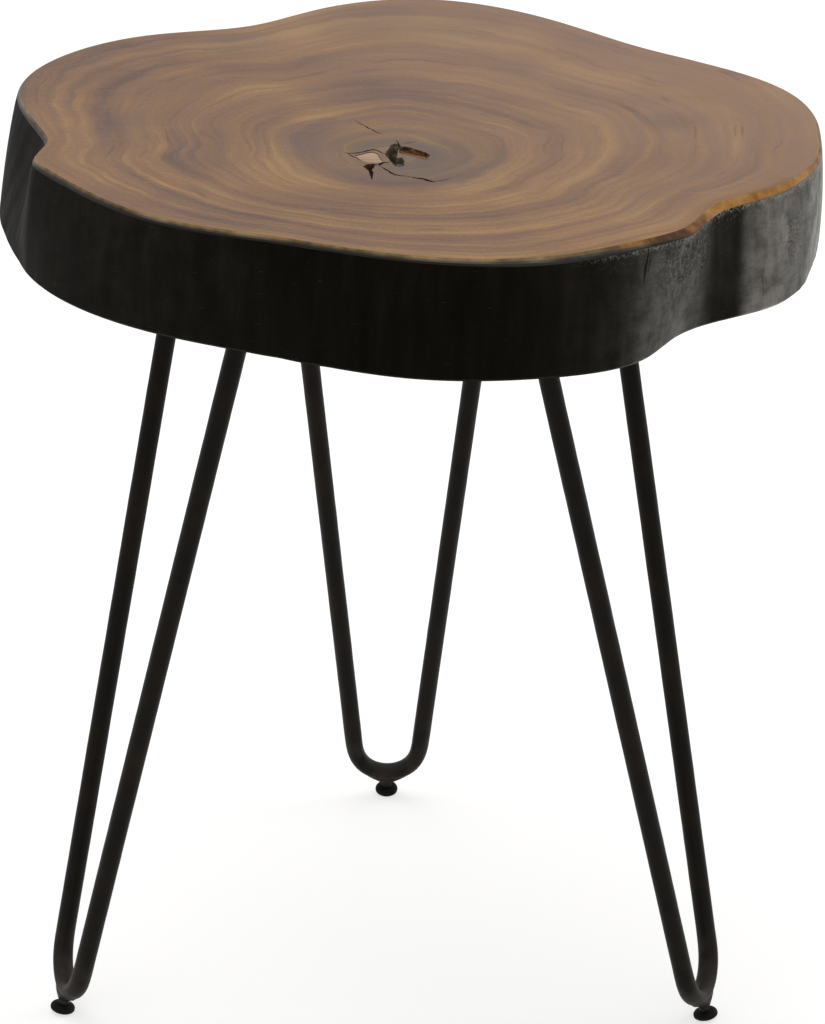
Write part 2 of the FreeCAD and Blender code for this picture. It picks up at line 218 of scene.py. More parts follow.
floor_paint, tree, surface = new_material("matt white floor paint")
feed(surface, {"Base Color": "#CBCAC8", "Roughness": 0.9, "Specular IOR Level": 0.1})
ray = add(tree, "LightPath").outputs
direct = add(tree, "Math", ray["Is Camera Ray"], ray["Is Glossy Ray"], operation="ADD")
shown = add(tree, "Math", direct, ray["Is Transmission Ray"], operation="ADD", use_clamp=True)
glow = add(tree, "Math", shown, FLOOR_GLOW, operation="MULTIPLY")
white = add(tree, "Emission", None, glow)
feed(tree.nodes["Material Output"], {"Surface": add(tree, "AddShader", surface, white)})
floor.data.materials.append(floor_paint)

world = bpy.data.worlds.new("studio_sky")
bpy.context.scene.world = world
world.use_nodes = True
tree = world.node_tree
direction = add(tree, "TexCoord").outputs["Generated"]
rise = add(tree, "SeparateXYZ", direction).outputs["Z"]
level = add(tree, "MapRange", rise, 0.0, SKY_RISES, SKY_AT_HORIZON, SKY_OVERHEAD)
feed(tree.nodes["Background"], {"Color": "#FFFFFF", "Strength": level})


def softbox(name, place, aim, width, height, watts):
    """Rectangular lamp at a place, turned to shine at a point; sizes in metres."""
    lamp = bpy.data.lights.new(name, "AREA")
    lamp.shape = "RECTANGLE"
    lamp.size = width
    lamp.size_y = height
    lamp.energy = watts
    stand = bpy.data.objects.new(name, lamp)
    stand.location = place
    stand.rotation_euler = (Vector(aim) - Vector(place)).to_track_quat("-Z", "Y").to_euler()
    stand.visible_camera = False
    bpy.context.scene.collection.objects.link(stand)
    return stand


softbox("overhead_softbox", (-0.3, 0.3, 2.7), (0, 0, 0.5), 2.4, 2.4, 26)
softbox("right_softbox", (2.2, 0.9, 1.0), (0.1, 0, 0.45), 0.9, 1.6, 9)

# %% [markdown]
# ## Live edge
# The log's outline has six soft lobes and one deep fold. It is read back from the measured slab at four
# heights, as a reach from the open heart at every bearing, so the dressed log keeps the measured size.
# Growth rings start round at the heart and take on the lobes as the tree grows, so one formula gives every
# ring: the same rings carry the mesh of the top and, later, the colours of the grain.

# %% Live edge
EDGE_STEPS = 1200
EDGE_SOFTENING = math.radians(0.55)
HEART_PIXEL = (394, 156)
ARRIS_HEIGHT = 3 * MM
BORES_WITHIN = 160 * MM
LOBES_FROM = 0.55

slab_points = np.array([vertex.co for vertex in frame["nodes"]["slab_top"].data.vertices])
slab_low, slab_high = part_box("slab_top")
TOP = slab_high.z
UNDERSIDE = slab_low.z
heart = seen_at(HEART_PIXEL, TOP)
bearings = np.linspace(0, 2 * math.pi, EDGE_STEPS, endpoint=False)
outward = np.stack([np.cos(bearings), np.sin(bearings)], axis=1)


def live_edge(height):
    """Reach of the measured edge from the heart, at every bearing, at one height of the slab."""
    ring = slab_points[np.abs(slab_points[:, 2] - height) < 0.1 * MM]
    ring = ring[np.hypot(ring[:, 0], ring[:, 1]) > BORES_WITHIN]
    across = ring[:, 0] - heart.x
    along = ring[:, 1] - heart.y
    reach = np.interp(bearings, np.arctan2(along, across), np.hypot(across, along), period=2 * math.pi)
    waves = np.fft.rfft(reach)
    softening = np.exp(-0.5 * (np.arange(len(waves)) * EDGE_SOFTENING) ** 2)
    return np.fft.irfft(waves * softening, EDGE_STEPS)


top_edge = live_edge(TOP)
shoulder = live_edge(TOP - ARRIS_HEIGHT)
belly = live_edge((TOP + UNDERSIDE) / 2)
low_edge = live_edge(UNDERSIDE)
mean_reach = top_edge.mean()


def ring_reach(growth, edge):
    """Reach of a growth ring: round near the heart, like the live edge at the rim."""
    return growth * (mean_reach + (edge - mean_reach) * growth ** LOBES_FROM)


print("live edge from the heart in mm:", round(top_edge.min() / MM), "to", round(top_edge.max() / MM))

# %% [markdown]
# ## Log slice
# The slice is one closed skin. Its rows run from the heart over the sanded top, across the planed arris,
# down the barked wall, round the worn lower edge and back to the middle of the underside. Sculpting would
# give the wall its drawknife flats, but noise in real millimetres does it the same way on every run: broad
# upright flats, narrow upright grooves and a fine tooth, all shallow enough to keep the measured size.

# %% Log slice
TOP_ROWS = 20
WALL_ROWS = 51
UNDER_ROWS = 5
HEART_GROWTH = 0.05
LOWER_ARRIS = 1.6 * MM
ARRIS_SHARES = (0.12, 0.5, 0.88)
ARRIS_CROWN = 0.35 * MM
KNOT_PIXEL = (688, 254)
KNOT_RADIUS = 5 * MM
COLLAR_WIDTH = 1.3 * MM
COLLAR_DEPTH = 0.8 * MM
ROUGH_REACH = 26 * MM
ROUGH_DEPTH = 0.9 * MM
# Width and height of each kind of tool mark in millimetres, and a start that sets its noise apart.
FLATS = (26, 170, 0)
GROOVES = (5.5, 60, 9)
TOOTH = (2.4, 3, 31)
FLAT_DEPTH = 0.75 * MM
GROOVE_DEPTH = 0.05 * MM
BARKED_DEPTH = 0.25 * MM
TOOTH_DEPTH = 0.05 * MM
GROOVED_FROM = 80 * MM
GROOVED_ALL = 150 * MM
RELIEF_GROWS = 12

wall_top = TOP - ARRIS_HEIGHT
wall_low = UNDERSIDE + LOWER_ARRIS


def wall_reach(share):
    """Reach of the wall from the heart at every bearing, a share of the way down it."""
    upper = shoulder * (1 - share) * (1 - 2 * share) + belly * 4 * share * (1 - share)
    return upper + low_edge * share * (2 * share - 1)


def seen_on_wall(pixel):
    """Point of the wall that the camera sees at a pixel of the photograph."""
    for share in np.linspace(0, 1, 300):
        spot = seen_at(pixel, wall_top + (wall_low - wall_top) * share)
        bearing = math.atan2(spot.y - heart.y, spot.x - heart.x)
        wall = np.interp(bearing, bearings, wall_reach(share), period=2 * math.pi)
        if math.hypot(spot.x - heart.x, spot.y - heart.y) < wall:
            break
    return spot


def tool_mark(point, width, height, start):
    """Noise at a point, in marks of a width and a height in millimetres."""
    x, y, z = point / MM
    return noise.noise(Vector((x / width, y / width, z / height + start)))


def wall_relief(points):
    """Depth of the drawknife flats, grooves, tooth and knot of the barked wall, in metres."""
    from_knot = np.linalg.norm(points - np.array(seen_on_wall(KNOT_PIXEL)), axis=1)
    rough = np.exp(-(from_knot / ROUGH_REACH) ** 2)
    collar = np.exp(-((from_knot - KNOT_RADIUS) / COLLAR_WIDTH) ** 2)
    flats, grooves, tooth = np.array([[tool_mark(point, *mark) for point in points]
                                      for mark in (FLATS, GROOVES, TOOTH)])
    barked = np.clip((points[:, 0] - GROOVED_FROM) / (GROOVED_ALL - GROOVED_FROM), 0, 1)
    smooth = FLAT_DEPTH * flats + (GROOVE_DEPTH + BARKED_DEPTH * barked) * grooves + TOOTH_DEPTH * tooth
    return smooth + ROUGH_DEPTH * rough * tooth - COLLAR_DEPTH * collar


def row_of_points(reach, height):
    """One row of the skin: a point at every bearing from the heart."""
    across = heart.x + reach * outward[:, 0]
    along = heart.y + reach * outward[:, 1]
    return np.stack([across, along, np.broadcast_to(height, reach.shape)], axis=1)


rows = []
zones = []
for growth in np.linspace(HEART_GROWTH, 1, TOP_ROWS):
    rows.append(row_of_points(ring_reach(growth, top_edge), TOP))
    zones.append("top")
zones[-1] = "arris"
for share in ARRIS_SHARES:
    crown = ARRIS_CROWN * 4 * share * (1 - share)
    rows.append(row_of_points(top_edge + (shoulder - top_edge) * share + crown, TOP - ARRIS_HEIGHT * share))
    zones.append("arris")
for share in np.linspace(0, 1, WALL_ROWS):
    row = row_of_points(wall_reach(share), wall_top + (wall_low - wall_top) * share)
    row[:, :2] += outward * (wall_relief(row) * min(1.0, RELIEF_GROWS * share))[:, None]
    rows.append(row)
    zones.append("wall")
for growth in np.linspace(1, HEART_GROWTH, UNDER_ROWS):
    rows.append(row_of_points(ring_reach(growth, low_edge - LOWER_ARRIS), UNDERSIDE))
    zones.append("underside")
zones[-UNDER_ROWS - 1] = "wall"

log_slice = new_piece("log_slice", *skin(rows))
ZONES = ("top", "arris", "wall", "underside", "crack", "void", "torn", "grey_ledge")
face_zones = [ZONES.index(zone) for zone in zones[:-1]]
face_zones = np.repeat(face_zones, EDGE_STEPS).tolist() + [ZONES.index("top"), ZONES.index("underside")]
for _ in ZONES:
    log_slice.data.materials.append(None)
log_slice.data.polygons.foreach_set("material_index", face_zones)
print("log slice:", len(log_slice.data.vertices), "points")

# %% [markdown]
# ## Open heart
# Drying has torn the heart open: a dark void, a few thin cracks, a ledge of grey wood and a torn strip.
# They could be painted on, but a real hole keeps its depth from any side, so they are cut out of the log
# with closed cutters. Each outline is read off the photograph, in its pixels, traced to the top and made
# ragged, because torn wood has no straight edges. Three drying splits in the wall are cut the same way.

# %% Open heart
CUT_ABOVE = 1.0 * MM
OUTLINE_WANDER = 0.5 * MM
CRACK_WANDER = 0.7 * MM
RAGGED_SPACING = 2.2 * MM
RAGGED_SHARES = (0, 0.25, 0.5, 0.75)
VOID = [(390.6, 145.4), (394, 143.4), (399, 143.6), (401, 146.2), (398, 151), (397, 157), (396.6, 161),
        (396, 165.8), (393.4, 164.6), (390.8, 161.4), (387.6, 157.4), (385, 154), (387.6, 150.2)]
GREY_LEDGE = [(395.8, 158.4), (401.6, 157.2), (404.6, 161), (404, 166), (399, 167.4), (395, 166)]
TORN_STRIP = [(399.4, 145.6), (406.7, 147.4), (413, 149.6), (420, 151.6), (426, 153.2), (429.6, 155.8),
              (426.4, 159.8), (420, 158.6), (411.8, 156.4), (404.7, 154.6), (399, 153.4)]
TORN_RISES = Vector((-0.5, -0.86, 0))
RISES_BY = 0.92
CHIP = [(355, 155.7), (364.9, 152.9), (372, 151.7), (377.4, 153.4), (380.6, 158.2), (383, 161.9),
        (375, 163.1), (368, 162.5), (360.6, 160)]
FORKED_HOLE = [(363, 166), (368, 164), (376, 163.8), (373.8, 168), (371.8, 170.4), (373.6, 172.4),
               (371.8, 180), (370, 175.6), (368.6, 170.8), (366, 168.8)]
CRACKS = [
    (1.1, 1.6, [(352, 118.8), (362, 124.3), (367, 127.2), (373, 130.2), (379, 132.8), (384, 134.8)]),
    (0.9, 3.0, [(396.6, 139.8), (398, 143), (399.4, 146)]),
    (0.8, 1.4, [(400.6, 144.0), (407.8, 143.0), (416, 140.9)]),
    (1.4, 5.0, [(344.6, 152.6), (350.6, 153.6), (358.8, 152.6), (368, 150.6), (374, 149.4), (379, 151.4),
                (387, 155)]),
    (1.0, 4.0, [(347, 153), (353, 156.4), (360.4, 160.2)]),
    (1.8, 5.0, [(373, 164.8), (379.2, 164.8), (383.3, 162.6), (391, 161.8)]),
    (1.5, 3.2, [(378, 164.6), (385.3, 169.2), (390.4, 172.4), (395.5, 175), (404.7, 176), (413, 177.2)]),
    (2.3, 4.0, [(410, 176.8), (416, 177.9), (422, 178.6), (427, 180), (431.2, 181.4), (436, 181.4)]),
    (0.9, 2.0, [(432, 181.4), (439.4, 180.8), (453, 177.8)]),
    (1.5, 4.0, [(399.4, 146), (408, 147.6), (418, 150.6), (425, 152.6), (430.6, 156)]),
]
SPLITS = [(1.7, [(649, 250), (647.6, 258), (645.4, 268), (644.6, 276), (643.6, 284)]),
          (0.8, [(652, 252), (650.6, 262), (648.6, 272)]),
          (1.0, [(763, 268), (762.8, 278), (763.4, 288), (763, 296)])]
SPLIT_DEPTH = 3 * MM
RAGGED_SEED = 1

# Vector noise starts from the clock unless it has a seed, and then no two runs would carve the same heart.
noise.seed_set(RAGGED_SEED)
cutters = []


def cutter(name, points, faces, zone):
    """Closed shape that is taken out of the log; the faces it leaves belong to a zone of the log."""
    tool = new_piece(name, points, faces)
    for _ in ZONES:
        tool.data.materials.append(None)
    tool.data.polygons.foreach_set("material_index", [ZONES.index(zone)] * len(tool.data.polygons))
    cutters.append(tool)


def ragged(corners, wander, closed):
    """Points along an outline or a line, pushed about on the top by noise."""
    starts = corners if closed else corners[:-1]
    ends = np.roll(corners, -1, axis=0) if closed else corners[1:]
    spots = [start + (end - start) * share for start, end in zip(starts, ends) for share in RAGGED_SHARES]
    if not closed:
        spots.append(corners[-1])
    pushes = [noise.noise_vector(Vector(spot / RAGGED_SPACING)) for spot in spots]
    return np.array(spots) + wander * np.array(pushes) * (1, 1, 0)


def torn_outline(pixels):
    """Ragged outline on the top from its corners in the photograph."""
    return ragged(np.array([seen_at(pixel, TOP) for pixel in pixels]), OUTLINE_WANDER, closed=True)


def pit(name, outline, depth, zone, taper, rises=None):
    """Cutter with an outline on the top, drawn in towards its floor, which may rise to one side."""
    mouth = torn_outline(outline)
    middle = mouth.mean(axis=0)
    sunk = middle + (mouth - middle) * taper
    share = np.zeros(len(mouth))
    if rises is not None:
        share = (mouth - middle) @ np.array(rises)
        share = RISES_BY * (share - share.min()) / (share.max() - share.min())
    sunk[:, 2] -= depth * (1 - share)
    cutter(name, *skin([mouth + (0, 0, CUT_ABOVE), mouth, sunk]), zone)


def wedge(name, spots, sideways, away, width, depth, zone):
    """Wedge-shaped cutter along spots of a surface, uneven in width and closed at its ends."""
    rings = []
    for index, (spot, side, out) in enumerate(zip(spots, sideways, away)):
        swell = 0.10 + 0.90 * math.sin(math.pi * (index + 0.35) / (len(spots) - 0.3)) ** 0.7
        swell *= 1 + 0.5 * noise.noise(Vector(spot / RAGGED_SPACING) + Vector((7, 0, 0)))
        half = 1.2 * (side * width / 2 * MM * swell)
        above = spot + out * CUT_ABOVE
        rings.append([above + half, above - half, spot - out * depth * swell])
    cutter(name, *skin(rings), zone)


def crack(name, line, width, depth):
    """Crack along a line of pixels on the top; width and depth in millimetres."""
    spots = ragged(np.array([seen_at(pixel, TOP) for pixel in line]), CRACK_WANDER, closed=False)
    heading = np.gradient(spots, axis=0)
    sideways = np.stack([-heading[:, 1], heading[:, 0], np.zeros(len(spots))], axis=1)
    sideways /= np.linalg.norm(sideways, axis=1)[:, None]
    upward = np.tile([0.0, 0.0, 1.0], (len(spots), 1))
    wedge(name, spots, sideways, upward, width, depth * MM, "crack")


def split(name, line, width):
    """Drying split along a line of pixels on the wall."""
    spots = np.array([seen_on_wall(pixel) for pixel in line])
    out = (spots - np.array(heart)) * (1, 1, 0)
    out /= np.linalg.norm(out, axis=1)[:, None]
    sideways = np.stack([-out[:, 1], out[:, 0], np.zeros(len(spots))], axis=1)
    wedge(name, spots, sideways, out, width, SPLIT_DEPTH, "wall")


pit("void", VOID, 11 * MM, "void", 0.62)
pit("grey_ledge", GREY_LEDGE, 3.2 * MM, "grey_ledge", 0.9)
pit("torn_strip", TORN_STRIP, 2.8 * MM, "torn", 0.95, TORN_RISES)
pit("chip_seat", CHIP, 2.6 * MM, "crack", 0.96)
pit("forked_hole", FORKED_HOLE, 4.5 * MM, "crack", 0.75)
for number, (width, depth, line) in enumerate(CRACKS):
    crack(f"crack_{number}", line, width, depth)
for number, (width, line) in enumerate(SPLITS):
    split(f"split_{number}", line, width)
print("cutters:", len(cutters))

# %% Carve the heart
def carve(piece, tools):
    """Take closed tools out of a piece for good, and remove the tools."""
    group = bpy.data.collections.new("tools")
    for tool in tools:
        group.objects.link(tool)
    carving = piece.modifiers.new("carving", "BOOLEAN")
    carving.operation = "DIFFERENCE"
    carving.operand_type = "COLLECTION"
    carving.collection = group
    carving.solver = "MANIFOLD"
    bpy.context.view_layer.update()
    solid = piece.evaluated_get(bpy.context.evaluated_depsgraph_get())
    piece_mesh = bpy.data.meshes.new_from_object(solid)
    piece.modifiers.clear()
    piece.data = piece_mesh
    for tool in tools:
        bpy.data.objects.remove(tool)
    bpy.data.collections.remove(group)
    piece_mesh.shade_smooth()
    piece_mesh.set_sharp_from_angle(angle=math.radians(SHARP_DEGREES))


carve(log_slice, cutters)
carved = log_slice.data
print("carved log:", len(carved.vertices), "points,", len(carved.polygons), "faces")

# %% [markdown]
# ## Ring measure
# The grain has to follow the rings, so each point of the log stores its growth: 0 at the heart, 1 at the
# rim. It could be drawn as distance from the heart, but the lobes would then cut through the rings. The
# ring formula is solved for growth by a few rounds of substitution, after the carving added its points.

# %% Ring measure
SUBSTITUTIONS = 20

positions = np.array([vertex.co for vertex in carved.vertices])
across = positions[:, 0] - heart.x
along = positions[:, 1] - heart.y
edge_here = np.interp(np.arctan2(along, across), bearings, top_edge, period=2 * math.pi)
reach_here = np.hypot(across, along)
growth_here = reach_here / edge_here
for _ in range(SUBSTITUTIONS):
    growth_here = reach_here / (mean_reach + (edge_here - mean_reach) * growth_here ** LOBES_FROM)
measure = carved.attributes.new("growth", "FLOAT", "POINT")
measure.data.foreach_set("value", np.clip(growth_here, 0, 1.05).astype(np.float32))
print("growth from", round(float(growth_here.min()), 3), "to", round(float(growth_here.max()), 3))

# %% [markdown]
# ## Lacquered end grain
# The top is hardwood end grain, sanded and sealed with satin lacquer. It gives the eye soft bands of gold,
# tan and mauve that flow along the rings, a few thin dark ring lines, grey stains round the heart, and a
# broad weak shine. Towards the back right the colour is mixed paler and greyer: a painted sheen of the
# lacquer catching the light. A wave texture would draw perfect circles. Noise that is stretched far along
# the rings gives bands that swell, fade and fork as real ones do, at two widths in millimetres.

# %% Ring coordinates
ALONG_STRETCH = 20.0
RING_WANDERS = [(60.0, 16.0), (20.0, 5.0), (8.0, 1.6)]


def ring_space(tree):
    """Place on the log, reach over the rings, and coordinates in mm: over the rings, slowly along them."""
    spot = add(tree, "TexCoord").outputs["Object"]
    growth = add(tree, "Attribute", attribute_name="growth").outputs["Fac"]
    reach = add(tree, "Math", growth, mean_reach / MM, operation="MULTIPLY")
    for spacing, stray in RING_WANDERS:
        wander = add(tree, "TexNoise", spot, 1 / (spacing * MM), 1.0)
        reach = add(tree, "Math", wander, stray, reach, operation="MULTIPLY_ADD")
    slow = add(tree, "VectorMath", spot, 1 / (ALONG_STRETCH * MM), operation="SCALE")
    sides = add(tree, "SeparateXYZ", slow).outputs
    return spot, reach, add(tree, "CombineXYZ", reach, sides["X"], sides["Y"])


def layered(tree, layers):
    """Weighted sum of several layers."""
    total = 0.0
    for layer, weight in layers:
        total = add(tree, "Math", layer, weight, total, operation="MULTIPLY_ADD")
    return total


def near_point(tree, spot, point, inner, outer, strength=1.0):
    """Strength round a point, fading out between two distances from it."""
    away = add(tree, "VectorMath", spot, point, operation="DISTANCE")
    return add(tree, "MapRange", away, inner, outer, strength, 0.0, interpolation_type="SMOOTHSTEP")


print("rings stray in mm:", [stray for spacing, stray in RING_WANDERS])

# %% Lacquered end grain
BROAD_BAND = 15.0
RING_WIDTH = 4.0
YEAR = 8.5
YEARS_FADE = 45.0
MOTTLE = 2.5
TONE_SPACING = 110.0
LINE_SPACING = 24.0
LINE_BREAKS = 30.0
SCRATCH_LENGTH = 45.0
SCRATCH_WIDTH = 0.8
SCRATCH_BEARING = math.radians(35)
SHEEN_TOWARDS = (1.8, 1.2, 0.0)
STAIN_CORE = 0.15
GREY_STAINS = [((430, 160), 60, 0.95), ((385, 158), 76, 0.5), ((320, 141), 44, 0.6), ((672, 121), 26, 0.6),
               ((128, 122), 20, 0.5), ((245, 44), 36, 0.55), ((380, 22), 60, 0.6), ((470, 30), 40, 0.4)]


def lacquered_end_grain():
    """Gold, tan and mauve bands with a painted sheen towards the back right,
    then grey stains, dark ring lines and faint sanding marks over them.
    """
    material, tree, surface = new_material("satin lacquered hardwood end grain")
    spot, reach, space = ring_space(tree)
    bands = add(tree, "TexNoise", space, 1 / BROAD_BAND, 3.0, 0.6)
    rings = add(tree, "TexNoise", space, 1 / RING_WIDTH, 2.0, 0.5)
    mottle = add(tree, "TexNoise", spot, 1 / (MOTTLE * MM), 2.0)
    tone = add(tree, "TexNoise", spot, 1 / (TONE_SPACING * MM), 1.0)
    count = add(tree, "Math", reach, YEAR, operation="DIVIDE")
    season = add(tree, "Math", count, operation="FRACT")
    fading = add(tree, "TexNoise", spot, 1 / (YEARS_FADE * MM), 1.0)
    seen = add(tree, "MapRange", fading, 0.42, 0.66)
    years = add(tree, "Math", season, seen, operation="MULTIPLY")
    toned = layered(tree, [(bands, 0.85), (rings, 0.38), (mottle, 0.24), (tone, 0.5), (years, 0.14)])
    share = add(tree, "MapRange", toned, 0.78, 1.26)
    wood = add(tree, "ValToRGB", share, stops=[
        (0.03, "#674B3D"), (0.22, "#785843"), (0.45, "#856246"), (0.60, "#8D6846"), (0.78, "#977249"),
        (0.97, "#A37D50")])
    # Painted sheen: towards the back right the colour is mixed paler and greyer, standing in for the lacquer
    # catching the light.
    pale = add(tree, "VectorMath", spot, SHEEN_TOWARDS, operation="DOT_PRODUCT")
    painted_sheen = add(tree, "MapRange", pale, -0.1, 0.5, 0.0, 0.5)
    finish = add(tree, "Mix", painted_sheen, wood, "#A08069", data_type="RGBA")

    uneven = add(tree, "MapRange", bands, 0.35, 0.62, 1.0, 0.5)
    for pixel, size, strength in GREY_STAINS:
        near = near_point(tree, spot, seen_at(pixel, TOP), STAIN_CORE * size * MM, size * MM, strength)
        stain = add(tree, "Math", near, uneven, operation="MULTIPLY")
        finish = add(tree, "Mix", stain, finish, "#64544A", data_type="RGBA")

    contour = add(tree, "TexNoise", space, 1 / LINE_SPACING, 2.0)
    beside = add(tree, "Math", contour, 0.5, operation="SUBTRACT")
    aside = add(tree, "Math", beside, operation="ABSOLUTE")
    line = add(tree, "MapRange", aside, 0.0, 0.02, 0.55, 0.0)
    breaks = add(tree, "TexNoise", spot, 1 / (LINE_BREAKS * MM), 1.0)
    here = add(tree, "MapRange", breaks, 0.48, 0.62)
    broken_line = add(tree, "Math", line, here, operation="MULTIPLY")
    lined = add(tree, "Mix", broken_line, finish, "#5F4A3C", data_type="RGBA")

    sanding = add(tree, "Mapping", spot, None, (0, 0, SCRATCH_BEARING),
                  (1 / (SCRATCH_LENGTH * MM), 1 / (SCRATCH_WIDTH * MM), 1))
    marks = add(tree, "TexNoise", sanding, 1.0, 0.0)
    scratch = add(tree, "MapRange", marks, 0.68, 0.76, 0.0, 0.12)
    sanded = add(tree, "Mix", scratch, lined, "#B08F70", data_type="RGBA")
    shine = add(tree, "MapRange", rings, 0.3, 0.7, 0.40, 0.50)
    grain = add(tree, "Bump", 0.08, 0.15 * MM, None, mottle)
    feed(surface, {"Base Color": sanded, "Roughness": shine, "Normal": grain, "Specular IOR Level": 0.3})
    return material


print("ring bands in mm:", BROAD_BAND, RING_WIDTH)

# %% [markdown]
# ## Planed arris
# A plane took the corner off the top, and lacquer soaked into the cut fibres. That gives the eye an
# amber line along the front right. On the left the black paint of the wall laps over most of it and has
# been rubbed, so a thin tan line is left with a grey-brown one under it. A separate strip could carry the
# paint, but its ragged lap is easier drawn by depth: two wandering limits below the top.

# %% Planed arris
BARE_DEPTH = [(-240, 0.9), (100, 1.0), (120, 1.6), (175, 3.3), (215, 2.4), (240, 2.4)]
DEEPEST = 4
RUBBED_DEPTH = 0.9 * MM
LAP_WANDER = 1.0 * MM
HALF_WIDTH = 240 * MM
FIBRES = 6.0
PATCHES = 32.0


def across_log(tree, place, stops):
    """Ramp over the log's width; stops are places in millimetres from its middle, with values."""
    sweep = add(tree, "MapRange", place["X"], -HALF_WIDTH, HALF_WIDTH)
    shares = [((x * MM + HALF_WIDTH) / (2 * HALF_WIDTH), value) for x, value in stops]
    return add(tree, "ValToRGB", sweep, stops=shares)


def planed_arris():
    """Tan wood on the left and amber on the right, then rubbed grey paint, then black, by depth."""
    material, tree, surface = new_material("lacquered planed edge grain")
    spot = add(tree, "TexCoord").outputs["Object"]
    place = add(tree, "SeparateXYZ", spot).outputs
    streaks = add(tree, "TexNoise", spot, 1 / (FIBRES * MM), 4.0)
    patches = add(tree, "TexNoise", spot, 1 / (PATCHES * MM), 2.0)
    mottled = layered(tree, [(streaks, 0.6), (patches, 1.0)])
    amber = add(tree, "ValToRGB", mottled, stops=[
        (0.60, "#4A2E10"), (0.72, "#6B4417"), (0.82, "#8A5A20"), (0.92, "#9A6A2C"), (1.0, "#A87B3C")])
    tan = add(tree, "ValToRGB", mottled, stops=[(0.62, "#4A3A22"), (0.8, "#7A6038"), (1.0, "#A0834E")])
    grey = add(tree, "ValToRGB", mottled, stops=[(0.62, "#1D1813"), (0.8, "#453D33"), (1.0, "#6C6356")])
    to_right = across_log(tree, place, [(-240, 0.0), (95, 0.0), (135, 1.0), (240, 1.0)])
    wood = add(tree, "Mix", to_right, tan, amber, data_type="RGBA")

    bare = across_log(tree, place, [(x, depth / DEEPEST) for x, depth in BARE_DEPTH])
    depth = add(tree, "Math", TOP, place["Z"], operation="SUBTRACT")
    lap = add(tree, "Math", streaks, LAP_WANDER, depth, operation="MULTIPLY_ADD")
    beyond = add(tree, "Math", bare, -DEEPEST * MM, lap, operation="MULTIPLY_ADD")
    paint_edge = LAP_WANDER / 2
    black_edge = paint_edge + RUBBED_DEPTH
    worn = add(tree, "MapRange", beyond, paint_edge - 0.2 * MM, paint_edge + 0.2 * MM)
    painted = add(tree, "MapRange", beyond, black_edge - 0.3 * MM, black_edge + 0.3 * MM)
    rubbed = add(tree, "Mix", worn, wood, grey, data_type="RGBA")
    edge = add(tree, "Mix", painted, rubbed, "#15110C", data_type="RGBA")
    feed(surface, {"Base Color": edge, "Roughness": 0.45, "Specular IOR Level": 0.25})
    return material


print("arris height in mm:", ARRIS_HEIGHT / MM)

# %% [markdown]
# ## Black live edge
# The barked wall was brushed with thin black paint, coated with wax and rubbed. It gives the eye a dead black
# front, and on the right a grey bloom in upright bands where the wax has been polished. One flat black would
# lose the form, so the bloom is partly a clear coat and partly a painted highlight: one mask, by place along
# the wall, by upright streaks and by fine level brush marks, sets the weight of the coat and mixes grey into
# the black where the light from the right would shine. Round the knot and along the upper corner the paint is
# rubbed through to broken grey flecks, and in the rough patches the pits are darkened as painted shade.

# %% Black live edge
STREAK_WIDTH = 9.0
STREAK_HEIGHT = 60.0
BRUSH_LENGTH = 7.0
BRUSH_WIDTH = 0.7
SPECK = 1.6
CLOUD = 13.0
FLECKED_BELOW = 12 * MM
CORNER_WANDER = 4 * MM
MOTTLED_PIXEL = (795, 235)
MOTTLED_REACH = 15 * MM
# Share of wax coat and of painted grey highlight at places across the log, in millimetres from its middle.
POLISH_AND_PAINTED_SHEEN = [(-240, 0.0), (-225, 0.0), (-200, 0.025), (-140, 0.035), (-50, 0.0), (60, 0.0), (100, 0.04),
          (118, 0.14), (130, 0.42), (150, 0.42), (158, 0.26), (166, 0.04), (181, 0.06), (187, 0.6),
          (194, 0.98), (206, 1.0), (211, 0.6), (221, 0.5), (227, 0.65), (238, 0.8)]


def drawn_out(tree, spot, *sizes):
    """Coordinates for marks of three sizes in millimetres, along X, Y and Z."""
    return add(tree, "VectorMath", spot, [1 / (size * MM) for size in sizes], operation="MULTIPLY")


